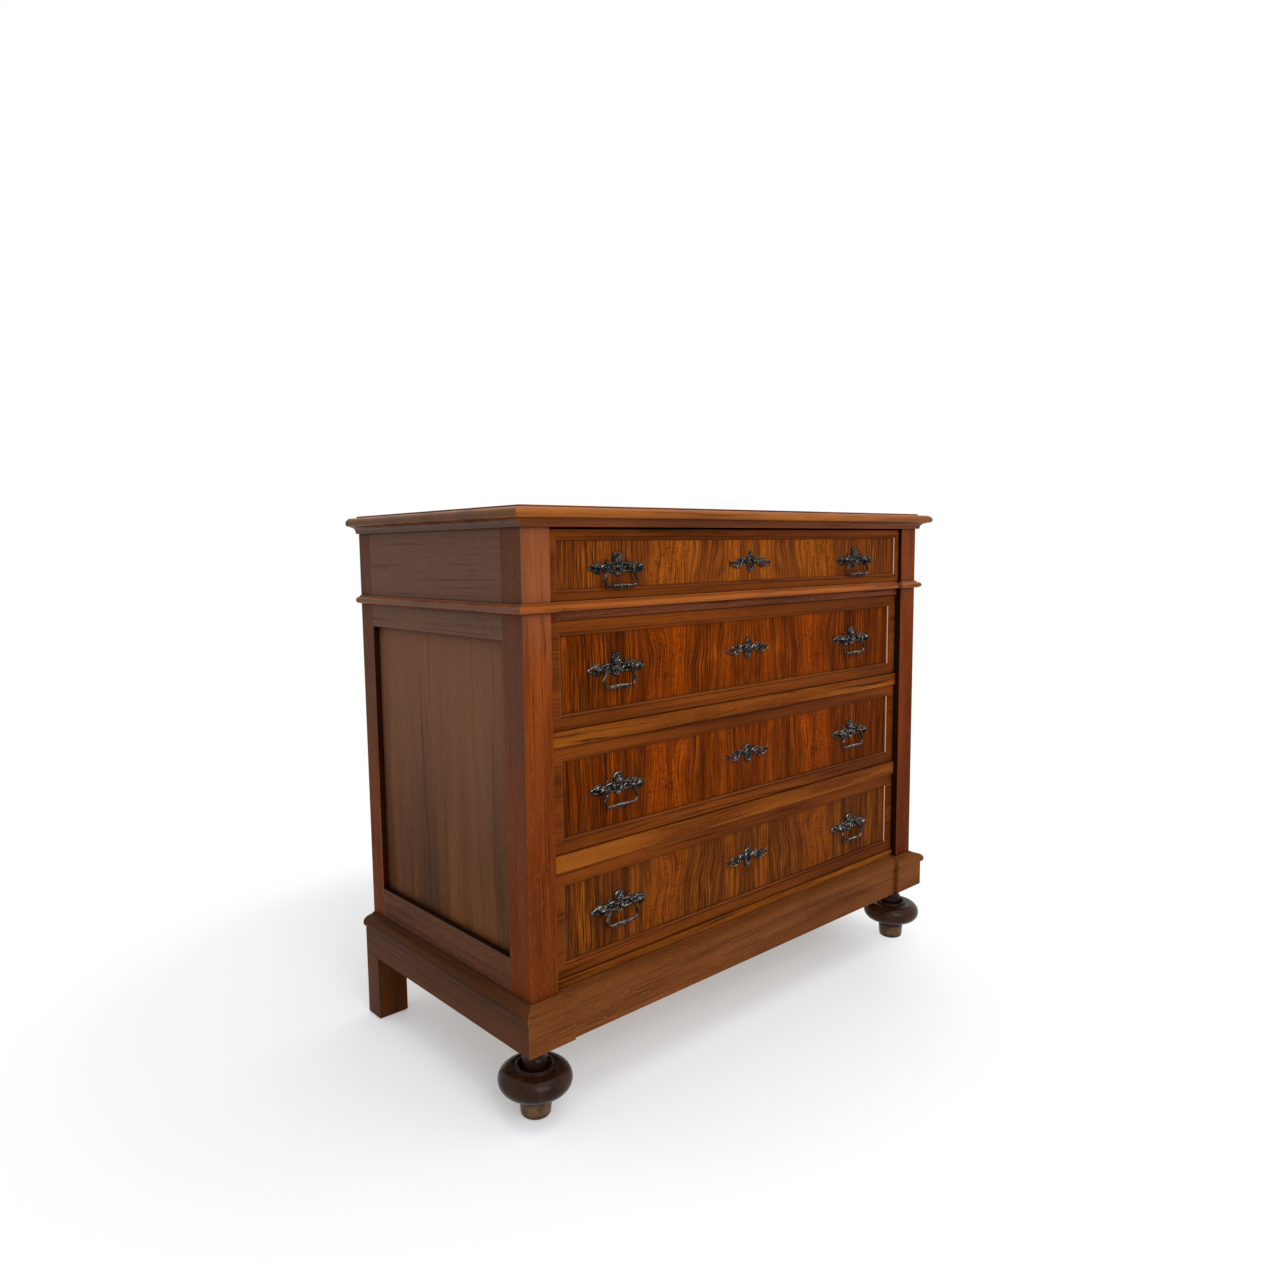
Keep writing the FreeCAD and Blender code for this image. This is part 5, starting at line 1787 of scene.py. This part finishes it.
# ---------------------------------------------------------------- light, floor and camera
@dataclass(frozen=True)
class Lamp:
    """One soft square lamp.

    Attributes:
        name: The lamp's name.
        place: Where it hangs.
        aim: What it points at.
        size: Length of its side.
        power: Its power in watts.
    """

    name: str
    place: Point
    aim: Point
    size: float
    power: float

    def hang(self) -> None:
        """Hangs the lamp and turns it to its aim."""
        data = bpy.data.lights.new(self.name, "AREA")
        data.size, data.energy = self.size, self.power
        lamp = bpy.data.objects.new(self.name, data)
        lamp.location = self.place
        lamp.rotation_euler = (Vector(self.aim) - Vector(self.place)).to_track_quat("-Z", "Y").to_euler()
        bpy.context.scene.collection.objects.link(lamp)


@dataclass
class Studio:
    """A pale floor, a white surround, plain soft light and the camera.

    Attributes:
        place: Where the camera stands.
        yaw: Turn of the camera about the upright, in degrees.
        pitch: Its tilt, down if negative.
        roll: Its lean to one side.
        lens: Its focal length in millimetres.
        sensor: Width of its sensor in millimetres.
        shift: Shift of its lens, in widths of the picture.
        glow: Strength of the surround as a light.
        lamps: The lamps.
        floor_size: Length of the floor's side.
        floor_colour: Linear colour of the floor.
        floor_middle: Middle of the floor's shaded part.
        fade: Distances from there over which the floor turns white.
        least_white: Share of white in the floor's shaded part.
    """

    place: Point = (-1.4355, -1.4450, 0.9545)
    yaw: float = -40.838
    pitch: float = -6.029
    roll: float = -0.821
    lens: float = 26.297
    sensor: float = 36.0
    shift: Flat = (0.02987, 0.00603)
    glow: float = 0.66
    lamps: tuple[Lamp, ...] = (Lamp("key", (-1.1, -3.2, 2.4), (0, 0, 0.55), 2.2, 60),
                               Lamp("top", (0.0, -0.4, 3.6), (0, 0, 0.5), 3.0, 42))
    floor_size: float = 40.0
    floor_colour: tuple[float, float, float, float] = (0.945, 0.97, 0.99, 1)
    floor_middle: Point = (-0.3, 0.15, 0.0)
    fade: Flat = (0.66, 1.15)
    least_white: float = 0.26

    def camera(self) -> None:
        """Sets the camera up."""
        data = bpy.data.cameras.new("camera")
        data.lens, data.sensor_width = self.lens, self.sensor
        data.shift_x, data.shift_y = self.shift
        camera = bpy.data.objects.new("camera", data)
        turn = Matrix.Rotation(radians(self.yaw), 4, "Z") @ Matrix.Rotation(radians(90 + self.pitch), 4, "X")
        turn = turn @ Matrix.Rotation(radians(self.roll), 4, "Z")
        camera.matrix_world = Matrix.Translation(self.place) @ turn
        bpy.context.scene.collection.objects.link(camera)
        bpy.context.scene.camera = camera

    @staticmethod
    def seen(nodes: Nodes) -> Socket:
        """Tells rays that see the backdrop, straight or in a gloss, from rays that light the chest.

        Args:
            nodes: Tool for the tree.

        Returns:
            1 for rays that see it, 0 for rays that carry its light.
        """
        path = nodes.put("ShaderNodeLightPath")
        straight = nodes.sum("ADD", path.outputs["Is Camera Ray"], path.outputs["Is Glossy Ray"])
        return nodes.sum("ADD", straight, path.outputs["Is Transmission Ray"], clamp=True)

    def surround(self) -> None:
        """Makes the world white to look at and dimmer as a light."""
        world = bpy.data.worlds.new("studio")
        bpy.context.scene.world = world
        nodes = Nodes.blank(world)
        strength = nodes.ramp(self.seen(nodes), 0.0, 1.0, self.glow, 1.0)
        light = nodes.put("ShaderNodeBackground", Color=WHITE, Strength=strength)
        nodes.put("ShaderNodeOutputWorld", Surface=light.outputs[0])

    def floor(self) -> None:
        """Lays the pale floor, which fades into the white surround away from the chest."""
        Bench.take()
        bpy.ops.mesh.primitive_plane_add(size=self.floor_size, location=(0, 0, 0))
        plane = bpy.context.active_object
        plane.name = "floor"
        material = bpy.data.materials.new("studio floor")
        nodes = Nodes.blank(material)
        place = nodes.put("ShaderNodeTexCoord").outputs["Object"]
        away = nodes.ramp(nodes.vector("DISTANCE", place, self.floor_middle), *self.fade)
        paper = nodes.put("ShaderNodeBsdfPrincipled", Base_Color=self.floor_colour, Roughness=0.9)
        white = nodes.put("ShaderNodeEmission", Color=WHITE, Strength=1.0)
        share = nodes.sum("MULTIPLY", nodes.ramp(away, 0.0, 1.0, self.least_white, 1.0), self.seen(nodes))
        mixed = nodes.put("ShaderNodeMixShader", Fac=share)
        nodes.feed(mixed.inputs[1], paper.outputs[0])
        nodes.feed(mixed.inputs[2], white.outputs[0])
        nodes.put("ShaderNodeOutputMaterial", Surface=mixed.outputs[0])
        plane.data.materials.append(material)

    def build(self) -> None:
        """Sets up the view, the light and the floor."""
        bpy.context.scene.view_settings.view_transform = "Standard"
        self.camera()
        self.surround()
        for lamp in self.lamps:
            lamp.hang()
        self.floor()


def main() -> None:
    """Builds the chest and the studio round it."""
    logging.basicConfig(level=logging.INFO, format="%(message)s")
    carcass = Carcass()
    Studio().build()
    Boards().dress()
    Plinth(carcass).build()
    WaistMoulding(carcass).build()
    Top(carcass).build()
    TurnedFoot().build()
    Pull().build()
    KeyPlate().build()


if __name__ == "__main__":
    main()
